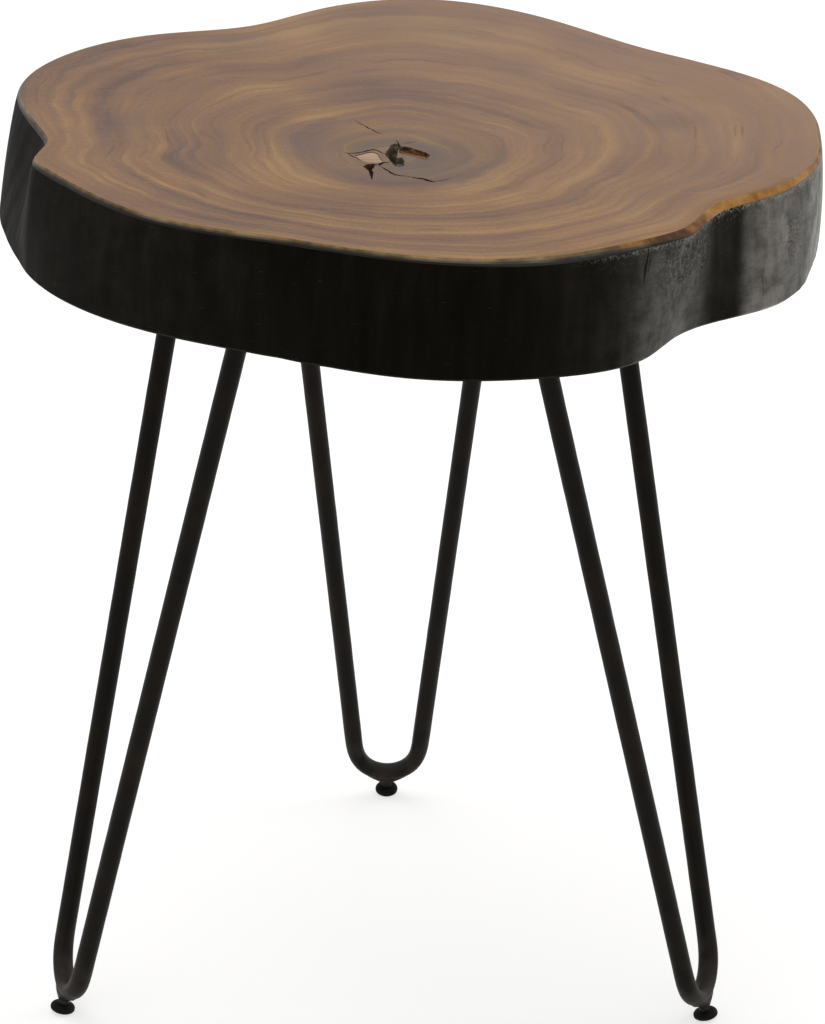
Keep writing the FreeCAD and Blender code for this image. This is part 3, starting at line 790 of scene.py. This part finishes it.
def black_live_edge():
    """Black paint under polished wax with a painted grey highlight on the right,
    painted shade in its pits, worn flecks, a rubbed corner and scored brush marks.
    """
    material, tree, surface = new_material("rubbed black paint on barked wood")
    spot = add(tree, "TexCoord").outputs["Object"]
    place = add(tree, "SeparateXYZ", spot).outputs
    upright = drawn_out(tree, spot, STREAK_WIDTH, STREAK_WIDTH, STREAK_HEIGHT)
    streaks = add(tree, "TexNoise", upright, 1.0, 4.0, 0.6)
    level = drawn_out(tree, spot, BRUSH_LENGTH, BRUSH_LENGTH, BRUSH_WIDTH)
    brush = add(tree, "TexNoise", level, 1.0, 2.0)
    specks = add(tree, "TexNoise", spot, 1 / (SPECK * MM), 3.0, 0.7)
    clouds = add(tree, "TexNoise", spot, 1 / (CLOUD * MM), 5.0, 0.62)
    rough = 0.0
    for pixel, reach in ((KNOT_PIXEL, ROUGH_REACH), (MOTTLED_PIXEL, MOTTLED_REACH)):
        near = near_point(tree, spot, seen_on_wall(pixel), 0.3 * reach, 1.3 * reach)
        rough = add(tree, "Math", near, rough, operation="MAXIMUM")

    polish_and_sheen = across_log(tree, place, POLISH_AND_PAINTED_SHEEN)
    streaky = add(tree, "MapRange", streaks, 0.30, 0.66, 0.62, 1.0)
    cloudy = add(tree, "MapRange", clouds, 0.36, 0.64, 0.55, 1.15)
    brushed = add(tree, "MapRange", brush, 0.3, 0.7, 0.82, 1.05)
    swept = add(tree, "Math", polish_and_sheen, streaky, operation="MULTIPLY")
    banded = add(tree, "Math", swept, cloudy, operation="MULTIPLY")
    wax_coat_and_painted_sheen = add(tree, "Math", banded, brushed, operation="MULTIPLY", use_clamp=True)
    black = add(tree, "ValToRGB", streaks, stops=[(0.30, "#0E0B07"), (0.55, "#15120D"), (0.75, "#1D1913")])
    # Painted highlight: the mask that weights the clear coat also mixes grey into the black, standing in for
    # the reflection of the right-hand light.
    finish = add(tree, "Mix", wax_coat_and_painted_sheen, black, "#827D75", data_type="RGBA")

    # Painted shade: in the rough patches the low points of the pitted bumps are darkened.
    pitted = add(tree, "MapRange", specks, 0.34, 0.48, 0.85, 0.0)
    painted_pit_shade = add(tree, "Math", pitted, rough, operation="MULTIPLY")
    to_right = across_log(tree, place, [(-240, 0.0), (85, 0.0), (140, 1.0), (240, 1.0)])
    high = add(tree, "MapRange", place["Z"], wall_top - FLECKED_BELOW, wall_top, 0.0, 0.5)
    worn = add(tree, "Math", high, rough, operation="MAXIMUM")
    wear = add(tree, "Math", worn, to_right, operation="MULTIPLY")
    flaking = add(tree, "MapRange", specks, 0.56, 0.68, 0.0, 0.9)
    flecks = add(tree, "Math", flaking, wear, operation="MULTIPLY")
    lifted = add(tree, "Math", streaks, CORNER_WANDER, place["Z"], operation="MULTIPLY_ADD")
    corner = add(tree, "MapRange", lifted, wall_top - 1.0 * MM, wall_top + 0.8 * MM)
    broken = add(tree, "MapRange", specks, 0.46, 0.6, 0.0, 0.85)
    rubbing = add(tree, "Math", corner, broken, operation="MULTIPLY")
    rubbed = add(tree, "Math", rubbing, to_right, operation="MULTIPLY")
    scored = add(tree, "MapRange", brush, 0.72, 0.8, 0.0, 0.4)
    for amount, code in ((painted_pit_shade, "#14110E"), (flecks, "#8A867F"), (rubbed, "#8F8B84"), (scored, "#5C564D")):
        finish = add(tree, "Mix", amount, finish, code, data_type="RGBA")

    shine = add(tree, "MapRange", streaks, 0.3, 0.7, 0.45, 0.65)
    biting = add(tree, "MapRange", rough, 0.0, 1.0, 0.18, 0.9)
    tooth = add(tree, "Bump", biting, 0.3 * MM, None, specks)
    bristles = add(tree, "Bump", 0.12, 0.12 * MM, None, brush, tooth)
    feed(surface, {"Base Color": finish, "Roughness": shine, "Normal": bristles, "Specular IOR Level": 0.02,
                   "Coat Weight": wax_coat_and_painted_sheen, "Coat Roughness": 0.32})
    return material


print("streaks in mm:", STREAK_WIDTH, "by", STREAK_HEIGHT)

# %% [markdown]
# ## Sawn underside and torn heart
# Nobody lacquers what faces the floor: the underside is sawn end grain under one coat of dark stain, with
# the marks of the saw across it. Inside the open heart the wood is raw, dark and fibrous; the ledge has
# weathered grey, and the torn strip shows its fibres as stripes.

# %% Sawn underside and torn heart
SAW_PITCH = 13.82
# Blender's wave texture turns through this angle in each unit of its scaled coordinate.
WAVE_RADIANS = 20


def stained_underside():
    """Dark brown rings crossed by the ridges of the saw."""
    material, tree, surface = new_material("dark stained sawn end grain")
    spot, _, space = ring_space(tree)
    rings = add(tree, "TexNoise", space, 1 / RING_WIDTH, 3.0)
    stain = add(tree, "ValToRGB", rings, stops=[(0.30, "#1B130D"), (0.50, "#2A1E15"), (0.72, "#3A2B1E")])
    saw = add(tree, "TexWave", spot, 2 * math.pi / (SAW_PITCH * MM) / WAVE_RADIANS, 1.5)
    marks = add(tree, "Bump", 0.4, 0.2 * MM, None, saw.outputs["Fac"])
    feed(surface, {"Base Color": stain, "Roughness": 0.75, "Normal": marks, "Specular IOR Level": 0.2})
    return material


def raw_wood(name, stops, stretch):
    """Bare broken wood: fibres drawn along X by a stretch, coloured by a ramp, with a rough surface."""
    material, tree, surface = new_material(name)
    spot = add(tree, "TexCoord").outputs["Object"]
    strands = add(tree, "TexNoise", drawn_out(tree, spot, stretch, 1, 1), 0.55, 4.0)
    colour = add(tree, "ValToRGB", strands, stops=stops)
    rough = add(tree, "Bump", 0.5, 0.4 * MM, None, strands)
    feed(surface, {"Base Color": colour, "Roughness": 0.85, "Normal": rough, "Specular IOR Level": 0.2})
    return material


LOG_FINISHES = {
    "top": lacquered_end_grain(),
    "arris": planed_arris(),
    "wall": black_live_edge(),
    "underside": stained_underside(),
    "crack": raw_wood("dark checked heartwood", [(0.3, "#26180F"), (0.55, "#432E20"), (0.8, "#694D37")], 4),
    "void": raw_wood("decayed heartwood", [(0.3, "#332D1E"), (0.55, "#665D46"), (0.8, "#8E866A")], 3),
    "torn": raw_wood("torn heartwood fibres", [(0.34, "#3E2A19"), (0.5, "#6F4E32"), (0.68, "#92704B")], 9),
    "grey_ledge": raw_wood("weathered heartwood", [(0.3, "#3B362F"), (0.5, "#625B51"), (0.75, "#7A7268")], 2),
}
for place, zone in enumerate(ZONES):
    log_slice.data.materials[place] = LOG_FINISHES[zone]
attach(log_slice, "table")
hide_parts("slab_top")
print("log finishes:", [item.name for item in log_slice.data.materials])

# %% [markdown]
# ## Heart chip
# One splinter of pale wood has come loose and been pressed back beside the void. It is its own small
# piece: a thin wedge in the seat that was cut for it, a little below the top so that its edge shows.

# %% Heart chip
CHIP_BELOW = 0.35 * MM
CHIP_THICK = 1.9 * MM
CHIP_SHARE = 0.98
CHIP_ROUNDED = (0.94, 0.94, 1)
CHIP_CROWN = 0.2 * MM

chip_outline = torn_outline(CHIP)
chip_middle = chip_outline.mean(axis=0)
chip_face = chip_middle + (chip_outline - chip_middle) * CHIP_SHARE - (0, 0, CHIP_BELOW)
chip_rounded = chip_middle + (chip_face - chip_middle) * CHIP_ROUNDED + (0, 0, CHIP_CROWN)
heart_chip = new_piece("heart_chip", *skin([chip_face - (0, 0, CHIP_THICK), chip_face, chip_rounded]))
heart_chip.data.materials.append(
    raw_wood("pale heartwood chip", [(0.3, "#A0856A"), (0.5, "#B1967A"), (0.72, "#BEA58A")], 12))
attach(heart_chip, "table")
print("chip is", round((chip_outline[:, 0].max() - chip_outline[:, 0].min()) / MM), "mm long")

# %% [markdown]
# ## Leg frames
# Each leg is drawn in its own frame: where its axis meets the floor, up that axis, and across the hairpin.
# The first two come from the joint that turns the leg's stud. The third comes from the measured bar, whose
# two cut ends lie on the plate.

# %% Leg frames
LEGS = ("left", "back", "right")
joints = {joint["name"]: joint for joint in frame["joints"]}
plate_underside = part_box("mounting_plate_left")[0].z


def leg_frame(leg):
    """Foot of a leg on the floor, and its directions across the hairpin, out of it and up it."""
    turn = joints[f"stud_{leg}_turn"]
    upward = -Vector(turn["axis"]).normalized()
    bar = np.array([vertex.co for vertex in frame["nodes"][f"hairpin_rod_{leg}"].data.vertices])
    ends = bar[bar[:, 2] > bar[:, 2].max() - 0.05 * MM]
    spread = ends - ends.mean(axis=0)
    along_ends = Vector(np.linalg.svd(spread)[2][0])
    across = (along_ends - upward * along_ends.dot(upward)).normalized()
    return np.array(turn["pos_m"]), np.array([across, upward.cross(across), upward])


def in_leg(leg, points):
    """Points given across, out of and up a leg, in the table's frame."""
    foot, axes = leg_frame(leg)
    return np.asarray(points) @ axes + foot


for leg in LEGS:
    print(leg, "leg leans", round(math.degrees(math.acos(leg_frame(leg)[1][2][2])), 1), "degrees")

# %% [markdown]
# ## Hairpin bars
# A hairpin leg is one round bar, bent cold round a former. A curve with a bevel would give an even tube.
# Rings along the bar give the faults of the real one as well: it springs back a little, so the bend runs
# out softly into the straight runs; the former presses it flatter and wider in the bend; and the bar wavers
# by a tenth of a millimetre. The foot's tapped hole goes up into the bend and ends under its inner side.

# %% Hairpin bars
BAR_RADIUS = 6 * MM
BEND_RADIUS = 22.5 * MM
BEND_BOTTOM = 18.5 * MM
SPLAY = math.radians(5.2)
BAR_SIDES = 32
BAR_STEP = 3 * MM
BEND_STEPS = 44
SPRING_BACK = 7 * MM
SPRING_WINDOW = 8
FLATTENED = 0.05
WIDENED = 0.06
WAVER = 0.1 * MM
WAVER_LENGTH = 14 * MM
TAPPED_RADIUS = 3.05 * MM
TAPPED_FROM = 8 * MM
TAPPED_TOP = 23 * MM
DRILLED_TOP = 23.6 * MM
DRILL_POINT = 0.72
section = np.linspace(0, 2 * math.pi, BAR_SIDES, endpoint=False)


def bar_line(leg):
    """Centre line of a bar in its leg's frame, in even steps from one cut end to the other."""
    foot, axes = leg_frame(leg)
    reach = math.pi / 2 - SPLAY
    turns = np.linspace(-reach, reach, BEND_STEPS)
    bend = np.stack([np.sin(turns), 0 * turns, 1 - np.cos(turns)], axis=1) * BEND_RADIUS
    bend[:, 2] += BEND_BOTTOM
    ends = []
    for side, start in ((-1, bend[0]), (1, bend[-1])):
        heading = np.array([side * math.sin(SPLAY), 0, math.cos(SPLAY)])
        length = (plate_underside - (start @ axes + foot)[2]) / (heading @ axes)[2]
        ends.append(start + heading * length)
    corners = np.vstack([ends[:1], bend, ends[1:]])
    travelled = np.append(0, np.cumsum(np.linalg.norm(np.diff(corners, axis=0), axis=1)))
    stations = np.linspace(0, travelled[-1], round(travelled[-1] / BAR_STEP))
    line = np.stack([np.interp(stations, travelled, corners[:, axis]) for axis in range(3)], axis=1)
    softening = np.exp(-0.5 * (np.arange(-SPRING_WINDOW, SPRING_WINDOW + 1) * BAR_STEP / SPRING_BACK) ** 2)
    softening /= softening.sum()
    for axis in range(3):
        line[SPRING_WINDOW:-SPRING_WINDOW, axis] = np.convolve(line[:, axis], softening, mode="valid")
    lifted = line[:, 2].min() - BEND_BOTTOM
    line[:, 2] -= lifted * np.exp(-((line[:, 2] - BEND_BOTTOM) / (2 * BEND_RADIUS)) ** 2)
    return line


def bent_bar(leg):
    """Rings of points along a bar, the last ones cut level with the plate."""
    foot, axes = leg_frame(leg)
    line = bar_line(leg)
    headings = np.gradient(line, axis=0)
    headings /= np.linalg.norm(headings, axis=1)[:, None]
    bent = np.linalg.norm(np.gradient(headings, axis=0), axis=1) / BAR_STEP * BEND_RADIUS
    rings = []
    for spot, heading, bend in zip(line, headings, np.minimum(bent, 1)):
        inward = np.cross(heading, (0, 1, 0))
        ring = []
        for turn in section:
            around = Vector((math.cos(turn), math.sin(turn), 3))
            waver = WAVER * noise.noise(Vector(spot / WAVER_LENGTH) + around)
            wide = (BAR_RADIUS * (1 + WIDENED * bend) + waver) * math.cos(turn)
            thick = (BAR_RADIUS * (1 - FLATTENED * bend) + waver) * math.sin(turn)
            ring.append(spot + wide * np.array([0, 1, 0]) + thick * inward)
        rings.append(np.array(ring) @ axes + foot)
    for end, heading in ((0, headings[0]), (-1, headings[-1])):
        run = heading @ axes
        rings[end] += np.outer((plate_underside - rings[end][:, 2]) / run[2], run)
    return np.array(rings)


def tapped_hole(leg):
    """Tool for the hole up a leg's axis into its bend, drawn in at the top as a drill leaves it."""
    ring = np.stack([np.cos(section), np.sin(section), 0 * section], axis=1) * TAPPED_RADIUS
    rings = [ring + (0, 0, TAPPED_FROM), ring + (0, 0, TAPPED_TOP), DRILL_POINT * ring + (0, 0, DRILLED_TOP)]
    return new_piece(f"tapping_{leg}", *skin(in_leg(leg, rings)))


bars = {}
for leg in LEGS:
    bars[leg] = bent_bar(leg)
    hairpin = new_piece(f"hairpin_{leg}", *skin(bars[leg]))
    carve(hairpin, [tapped_hole(leg)])
    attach(hairpin, "table")
    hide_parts(f"hairpin_rod_{leg}")
    print(hairpin.name, len(hairpin.data.vertices), "points")

# %% [markdown]
# ## Welds
# The bars are welded to their plates and a tapped boss is welded under each bend. Up at the plate the bead
# is left as it was laid, a row of overlapping ripples, so it is a ring of metal along the joint whose
# thickness rises and falls. Down at the boss it was ground to a smooth fillet that carries the neck of the
# foot out into the bend, so it is a skin over oval rings that grow along the bar.

# %% Welds
BEAD = 1.9 * MM
BEAD_SIDES = 10
RIPPLES = 15
RIPPLE_HEIGHT = 0.16
SPATTER = 0.10
UPRIGHT = np.array([0, 0, 1.0])
FILLET = [(9.9, 4.3, 4.3), (10.6, 4.75, 4.65), (11.4, 5.4, 5.0), (12.2, 6.5, 5.3), (13.0, 8.0, 5.6),
          (13.9, 10.0, 5.85), (14.9, 12.2, 6.0), (16.1, 14.2, 5.9), (17.7, 16.0, 5.5), (19.9, 17.6, 4.8),
          (19.9, 3.6, 3.6), (9.9, 3.6, 3.6)]
GRINDING = 0.15 * MM
GRINDING_LENGTH = 5 * MM


def weld_bead(path, out):
    """Bead along a closed level path; out and the upright span its cross-section at each point."""
    turns = np.linspace(0, 2 * math.pi, BEAD_SIDES, endpoint=False)
    rings = []
    for index, (spot, away) in enumerate(zip(path, out)):
        ripple = 1 + RIPPLE_HEIGHT * abs(math.sin(math.pi * RIPPLES * index / len(path)))
        ripple += SPATTER * noise.noise(Vector(spot / (4 * MM)))
        section_of_bead = np.outer(np.cos(turns), away) + np.outer(np.sin(turns), UPRIGHT)
        rings.append(spot + BEAD * ripple * section_of_bead)
    return skin(rings, joined=True)


def joined_skins(skins):
    """Several skins as the points and faces of one piece."""
    points = np.concatenate([part[0] for part in skins])
    starts = np.cumsum([0] + [len(part[0]) for part in skins[:-1]])
    faces = []
    for (_, own_faces), start in zip(skins, starts):
        faces += [tuple(corner + start for corner in face) for face in own_faces]
    return points, faces


def ground_fillet(leg):
    """Skin of the fillet between a boss and its bend."""
    turns = np.linspace(0, 2 * math.pi, 2 * BAR_SIDES, endpoint=False)
    rings = []
    for height, across, out in FILLET:
        ring = np.stack([across * np.cos(turns), out * np.sin(turns), 0 * turns + height], axis=1) * MM
        unevenness = [noise.noise(Vector(spot / GRINDING_LENGTH)) for spot in ring]
        rings.append(ring * (1 + GRINDING / (across * MM) * np.array(unevenness))[:, None])
    return skin(in_leg(leg, rings), joined=True)


for leg in LEGS:
    beads = []
    for end in (bars[leg][0], bars[leg][-1]):
        away = end - end.mean(axis=0)
        away /= np.linalg.norm(away, axis=1)[:, None]
        beads.append(weld_bead(end, away))
    weld = new_piece(f"welds_{leg}", *joined_skins(beads + [ground_fillet(leg)]))
    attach(weld, "table")
    print(weld.name, "two beads and a fillet")

# %% [markdown]
# ## Turned pieces
# Bosses, studs, pads and screw heads are all round or hexagonal about an axis, as a lathe or a press makes
# them. One function skins a list of heights and radii about a leg's axis. A radius may depend on the angle,
# which gives hexagons with turned corners and the helix of a thread.

# %% Turned pieces
TURNED_SIDES = 60
lathe = np.linspace(0, 2 * math.pi, TURNED_SIDES, endpoint=False)


def hexagon(flats):
    """Radius of a hexagon at each lathe angle, from its width across flats."""
    return flats / 2 / np.cos((lathe + math.pi / 6) % (math.pi / 3) - math.pi / 6)


def turned(profile):
    """Rings about a local axis from pairs of height and radius; a radius is a number or one per angle."""
    rings = []
    for height, radius in profile:
        reach = np.broadcast_to(radius, lathe.shape)
        rings.append(np.stack([reach * np.cos(lathe), reach * np.sin(lathe), 0 * lathe + height], axis=1))
    return np.array(rings)


BOSS_BOTTOM = 9.2 * MM
BOSS_TOP = 14 * MM
BOSS_RADIUS = 4.2 * MM
BOSS_FOOT = 5.5 * MM
boss_profile = [(BOSS_TOP, TAPPED_RADIUS), (BOSS_BOTTOM + 0.5 * MM, TAPPED_RADIUS),
                (BOSS_BOTTOM, TAPPED_RADIUS + 0.3 * MM), (BOSS_BOTTOM, BOSS_RADIUS - 0.4 * MM),
                (BOSS_BOTTOM + 0.4 * MM, BOSS_RADIUS + 0.1 * MM), (BOSS_TOP, BOSS_FOOT)]
for leg in LEGS:
    boss = new_piece(f"tapped_boss_{leg}", *skin(in_leg(leg, turned(boss_profile)), joined=True))
    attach(boss, "table")
    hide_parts(f"foot_boss_{leg}")
print("bosses:", len(LEGS))

# %% [markdown]
# ## Leveller studs
# Each foot screws in and out on an M6 stud. Its thread could be left to a bump, but the outline of a thread
# shows when the foot is wound out, so the shank's radius follows a real helix of 1 mm pitch. A hexagon
# collar takes the spanner, and a flange below it is held inside the pad.

# %% Leveller studs
STUD_RADIUS = 2.98 * MM
THREAD_PITCH = 1 * MM
THREAD_DEPTH = 0.5 * MM
STUD_TOP = 23.5 * MM
THREAD_STEP = 0.125 * MM
COLLAR_LOW = 5.9 * MM
COLLAR_HIGH = 8.9 * MM
COLLAR_FLATS = 7 * MM
FLANGE_LOW = 2.3 * MM
FLANGE_HIGH = 3.5 * MM
FLANGE_RADIUS = 4.5 * MM


def thread_radius(height):
    """Radius of the threaded shank at each lathe angle, at one height."""
    phase = (height / THREAD_PITCH - lathe / (2 * math.pi)) % 1
    return STUD_RADIUS - THREAD_DEPTH * np.abs(2 * phase - 1)


def stud_profile():
    """Heights and radii of a stud: its flange, its hexagon collar and its threaded shank."""
    shank = STUD_RADIUS - THREAD_DEPTH
    chamfer = 0.4 * MM
    turned_corner = COLLAR_FLATS / 2 * 1.06
    profile = [(FLANGE_LOW, 0.2 * MM), (FLANGE_LOW, FLANGE_RADIUS - 0.2 * MM),
               (FLANGE_LOW + 0.2 * MM, FLANGE_RADIUS), (FLANGE_HIGH, FLANGE_RADIUS), (FLANGE_HIGH, shank),
               (COLLAR_LOW, shank)]
    for height, reach in ((COLLAR_LOW, turned_corner), (COLLAR_LOW + chamfer, COLLAR_FLATS),
                          (COLLAR_HIGH - chamfer, COLLAR_FLATS), (COLLAR_HIGH, turned_corner)):
        profile.append((height, np.minimum(hexagon(COLLAR_FLATS), reach)))
    profile.append((COLLAR_HIGH, shank))
    for height in np.arange(COLLAR_HIGH + THREAD_STEP, STUD_TOP - 0.6 * MM, THREAD_STEP):
        profile.append((height, thread_radius(height)))
    profile += [(STUD_TOP, shank * 0.85), (STUD_TOP, 0.2 * MM)]
    return profile


for leg in LEGS:
    stud = new_piece(f"threaded_stud_{leg}", *skin(in_leg(leg, turned(stud_profile()))))
    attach(stud, f"stud_{leg}")
    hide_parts(f"leveller_stud_{leg}")
    print(stud.name, len(stud.data.vertices), "points")

# %% [markdown]
# ## Foot pads
# The pads are moulded rubber buttons: a round rim, a swept upper side up to a neck, and a socket inside for
# the stud's flange. They stand square to the leaning leg, so the floor has worn their inner edge flat. The
# section is a few heights and radii with rounded corners, and points below the floor are brought up to it.

# %% Foot pads
PAD_SECTION = [
    (2.2, 0.2), (2.2, 4.4), (2.3, 4.6), (3.5, 4.6), (3.6, 4.4), (3.6, 3.2), (5.45, 3.1), (5.7, 3.3),
    (5.75, 3.65), (5.65, 4.1), (5.5, 4.7), (5.25, 5.4), (4.95, 6.1), (4.5, 6.8), (3.95, 7.35), (3.3, 7.68),
    (2.5, 7.75), (1.9, 7.6), (1.45, 7.1), (1.2, 6.4), (1.1, 5.2), (1.05, 3.0), (1.05, 0.2),
]

for leg in LEGS:
    rings = in_leg(leg, turned([(height * MM, radius * MM) for height, radius in PAD_SECTION]))
    rings[..., 2] = np.maximum(rings[..., 2], 0)
    pad = new_piece(f"foot_pad_{leg}", *skin(rings))
    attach(pad, f"foot_{leg}")
    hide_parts(f"leveller_pad_{leg}")
    print(pad.name, "stands on", round(rings[..., 2].min() / MM, 2), "mm")

# %% [markdown]
# ## Plate screws
# Four hexagon-head wood screws hold each plate up to the slab. They hang head down, so the pressed washer
# face, the chamfered corners and the small dimple of the head are what shows from below.

# %% Plate screws
SCREW_ALONG = 42 * MM
SCREW_ACROSS = 12 * MM
SCREW_FLATS = 8 * MM
SCREW_HEAD = 3.5 * MM
SCREW_SHANK = 2.4 * MM
SCREW_LENGTH = 30 * MM
FIRST_TURN = 8
NEXT_TURN = 23


def screw_profile():
    """Heights and radii of a screw: the dimpled hexagon head, its washer face and a plain shank."""
    corner = SCREW_FLATS / 2 * 1.05
    head = hexagon(SCREW_FLATS)
    profile = [(-SCREW_HEAD + 0.7 * MM, 0.2 * MM), (-SCREW_HEAD + 0.5 * MM, 1.4 * MM),
               (-SCREW_HEAD, 2.2 * MM)]
    for height, reach in ((-SCREW_HEAD, corner), (-SCREW_HEAD + 0.4 * MM, SCREW_FLATS),
                          (-0.7 * MM, SCREW_FLATS)):
        profile.append((height, np.minimum(head, reach)))
    profile += [(-0.6 * MM, SCREW_FLATS * 0.66), (-0.1 * MM, SCREW_FLATS * 0.68), (0, SCREW_FLATS * 0.66),
                (0, SCREW_SHANK), (SCREW_LENGTH * 0.8, SCREW_SHANK), (SCREW_LENGTH, 0.2 * MM)]
    return profile


for leg in LEGS:
    foot, axes = leg_frame(leg)
    middle = foot + axes[2] * ((plate_underside - foot[2]) / axes[2][2])
    along = np.array([axes[0][0], axes[0][1], 0]) / math.hypot(axes[0][0], axes[0][1])
    inward = np.array([-along[1], along[0], 0])
    screws = []
    for number, (lengthways, sideways) in enumerate([(-1, -1), (-1, 1), (1, -1), (1, 1)]):
        spot = middle + along * lengthways * SCREW_ALONG + inward * sideways * SCREW_ACROSS
        turn = math.radians(FIRST_TURN + NEXT_TURN * number)
        set_by_hand = np.array(Matrix.Rotation(-turn, 3, "Z"))
        screws.append(skin(turned(screw_profile()) @ set_by_hand + spot))
    group = new_piece(f"hex_screws_{leg}", *joined_skins(screws))
    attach(group, "table")
    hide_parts(f"plate_screws_{leg}")
    print(group.name, len(screws), "screws")

# %% [markdown]
# ## Steel and rubber
# The legs are powder-coated: a soft black skin with a faint orange peel, rubbed a little greyer where hands
# and feet touch it, and near the floor painted paler where it faces up, as a painted highlight of the light
# from above. The plates carry the same coat. Screws are zinc-plated, studs are oil-blackened, and the pads
# are matt moulded rubber. Plain black would hide the round of the bars, so each coat varies in tone and
# shine over sizes given in millimetres.

# %% Steel and rubber
ORANGE_PEEL = 1.4
RUB_SIZE = 38.0
SCUFF_SIZE = 16.0
SCUFFED_BELOW = 75 * MM
PLATING_CLOUDS = 3.0
RUBBER_BLOOM = 5.0
PLATE_EDGE = 0.5 * MM


def powder_coat():
    """Soft black with a faint orange peel and scuffs near the floor, where what faces up gets a painted
    highlight.
    """
    material, tree, surface = new_material("satin black powder coat on steel")
    spot = add(tree, "TexCoord").outputs["Object"]
    rubs = add(tree, "TexNoise", spot, 1 / (RUB_SIZE * MM), 4.0, 0.6)
    scuffs = add(tree, "TexNoise", spot, 1 / (SCUFF_SIZE * MM), 3.0)
    peel = add(tree, "TexNoise", spot, 1 / (ORANGE_PEEL * MM), 1.0)
    coat = add(tree, "ValToRGB", rubs, stops=[(0.30, "#110D09"), (0.52, "#19140F"), (0.74, "#251E17")])
    height = add(tree, "SeparateXYZ", spot).outputs["Z"]
    near_floor = add(tree, "MapRange", height, SCUFFED_BELOW, 0.4 * SCUFFED_BELOW)
    bare = add(tree, "MapRange", scuffs, 0.40, 0.72, 0.0, 0.5)
    facing_up = add(tree, "SeparateXYZ", add(tree, "NewGeometry").outputs["Normal"]).outputs["Z"]
    # Painted highlight: near the floor what faces up is mixed paler, standing in for the light from above; it
    # shares one grey mix with the scuffs.
    painted_top_highlight = add(tree, "MapRange", facing_up, 0.05, 0.6, 0.0, 0.45)
    scuffs_and_painted_highlight = add(tree, "Math", bare, painted_top_highlight, operation="MAXIMUM")
    low_scuffs_and_highlight = add(tree, "Math", near_floor, scuffs_and_painted_highlight, operation="MULTIPLY")
    finish = add(tree, "Mix", low_scuffs_and_highlight, coat, "#4A443F", data_type="RGBA")
    shine = add(tree, "MapRange", rubs, 0.3, 0.7, 0.38, 0.54)
    relief = add(tree, "Bump", 0.15, 0.05 * MM, None, peel)
    feed(surface, {"Base Color": finish, "Roughness": shine, "Normal": relief, "Specular IOR Level": 0.08})
    return material


def plated_steel(name, stops, roughness):
    """Bare plated metal with fine cloudy staining."""
    material, tree, surface = new_material(name)
    spot = add(tree, "TexCoord").outputs["Object"]
    clouds = add(tree, "TexNoise", spot, 1 / (PLATING_CLOUDS * MM), 4.0)
    metal = add(tree, "ValToRGB", clouds, stops=stops)
    dull = add(tree, "MapRange", clouds, 0.0, 1.0, roughness - 0.1, roughness + 0.1)
    feed(surface, {"Base Color": metal, "Roughness": dull, "Metallic": 1.0})
    return material


def moulded_rubber():
    """Matt black with a paler bloom of dust."""
    material, tree, surface = new_material("matt black moulded rubber")
    spot = add(tree, "TexCoord").outputs["Object"]
    bloom = add(tree, "TexNoise", spot, 1 / (RUBBER_BLOOM * MM), 5.0, 0.65)
    rubber = add(tree, "ValToRGB", bloom, stops=[(0.35, "#0E0C0A"), (0.55, "#151310"), (0.8, "#221F1B")])
    feed(surface, {"Base Color": rubber, "Roughness": 0.7, "Specular IOR Level": 0.15})
    return material


coat = powder_coat()
zinc = plated_steel("zinc-plated steel", [(0.3, "#8E8D88"), (0.5, "#B4B2AB"), (0.7, "#C9C6BE")], 0.38)
oil_black = plated_steel("oil-blackened steel", [(0.3, "#1B1A18"), (0.5, "#2B2A28"), (0.7, "#3A3835")], 0.42)
rubber = moulded_rubber()
for leg in LEGS:
    finishes = {f"hairpin_{leg}": coat, f"welds_{leg}": coat, f"tapped_boss_{leg}": coat,
                f"hex_screws_{leg}": zinc, f"threaded_stud_{leg}": oil_black, f"foot_pad_{leg}": rubber}
    for name, finish in finishes.items():
        bpy.data.objects[name].data.materials.clear()
        bpy.data.objects[name].data.materials.append(finish)
    plate = frame["nodes"][f"mounting_plate_{leg}"]
    plate.data.materials.clear()
    plate.data.materials.append(coat)
    rounded = plate.modifiers.new("filed_edges", "BEVEL")
    rounded.width = PLATE_EDGE
    rounded.segments = 2
    rounded.limit_method = "ANGLE"
print("finishes:", [item.name for item in (coat, zinc, oil_black, rubber)])
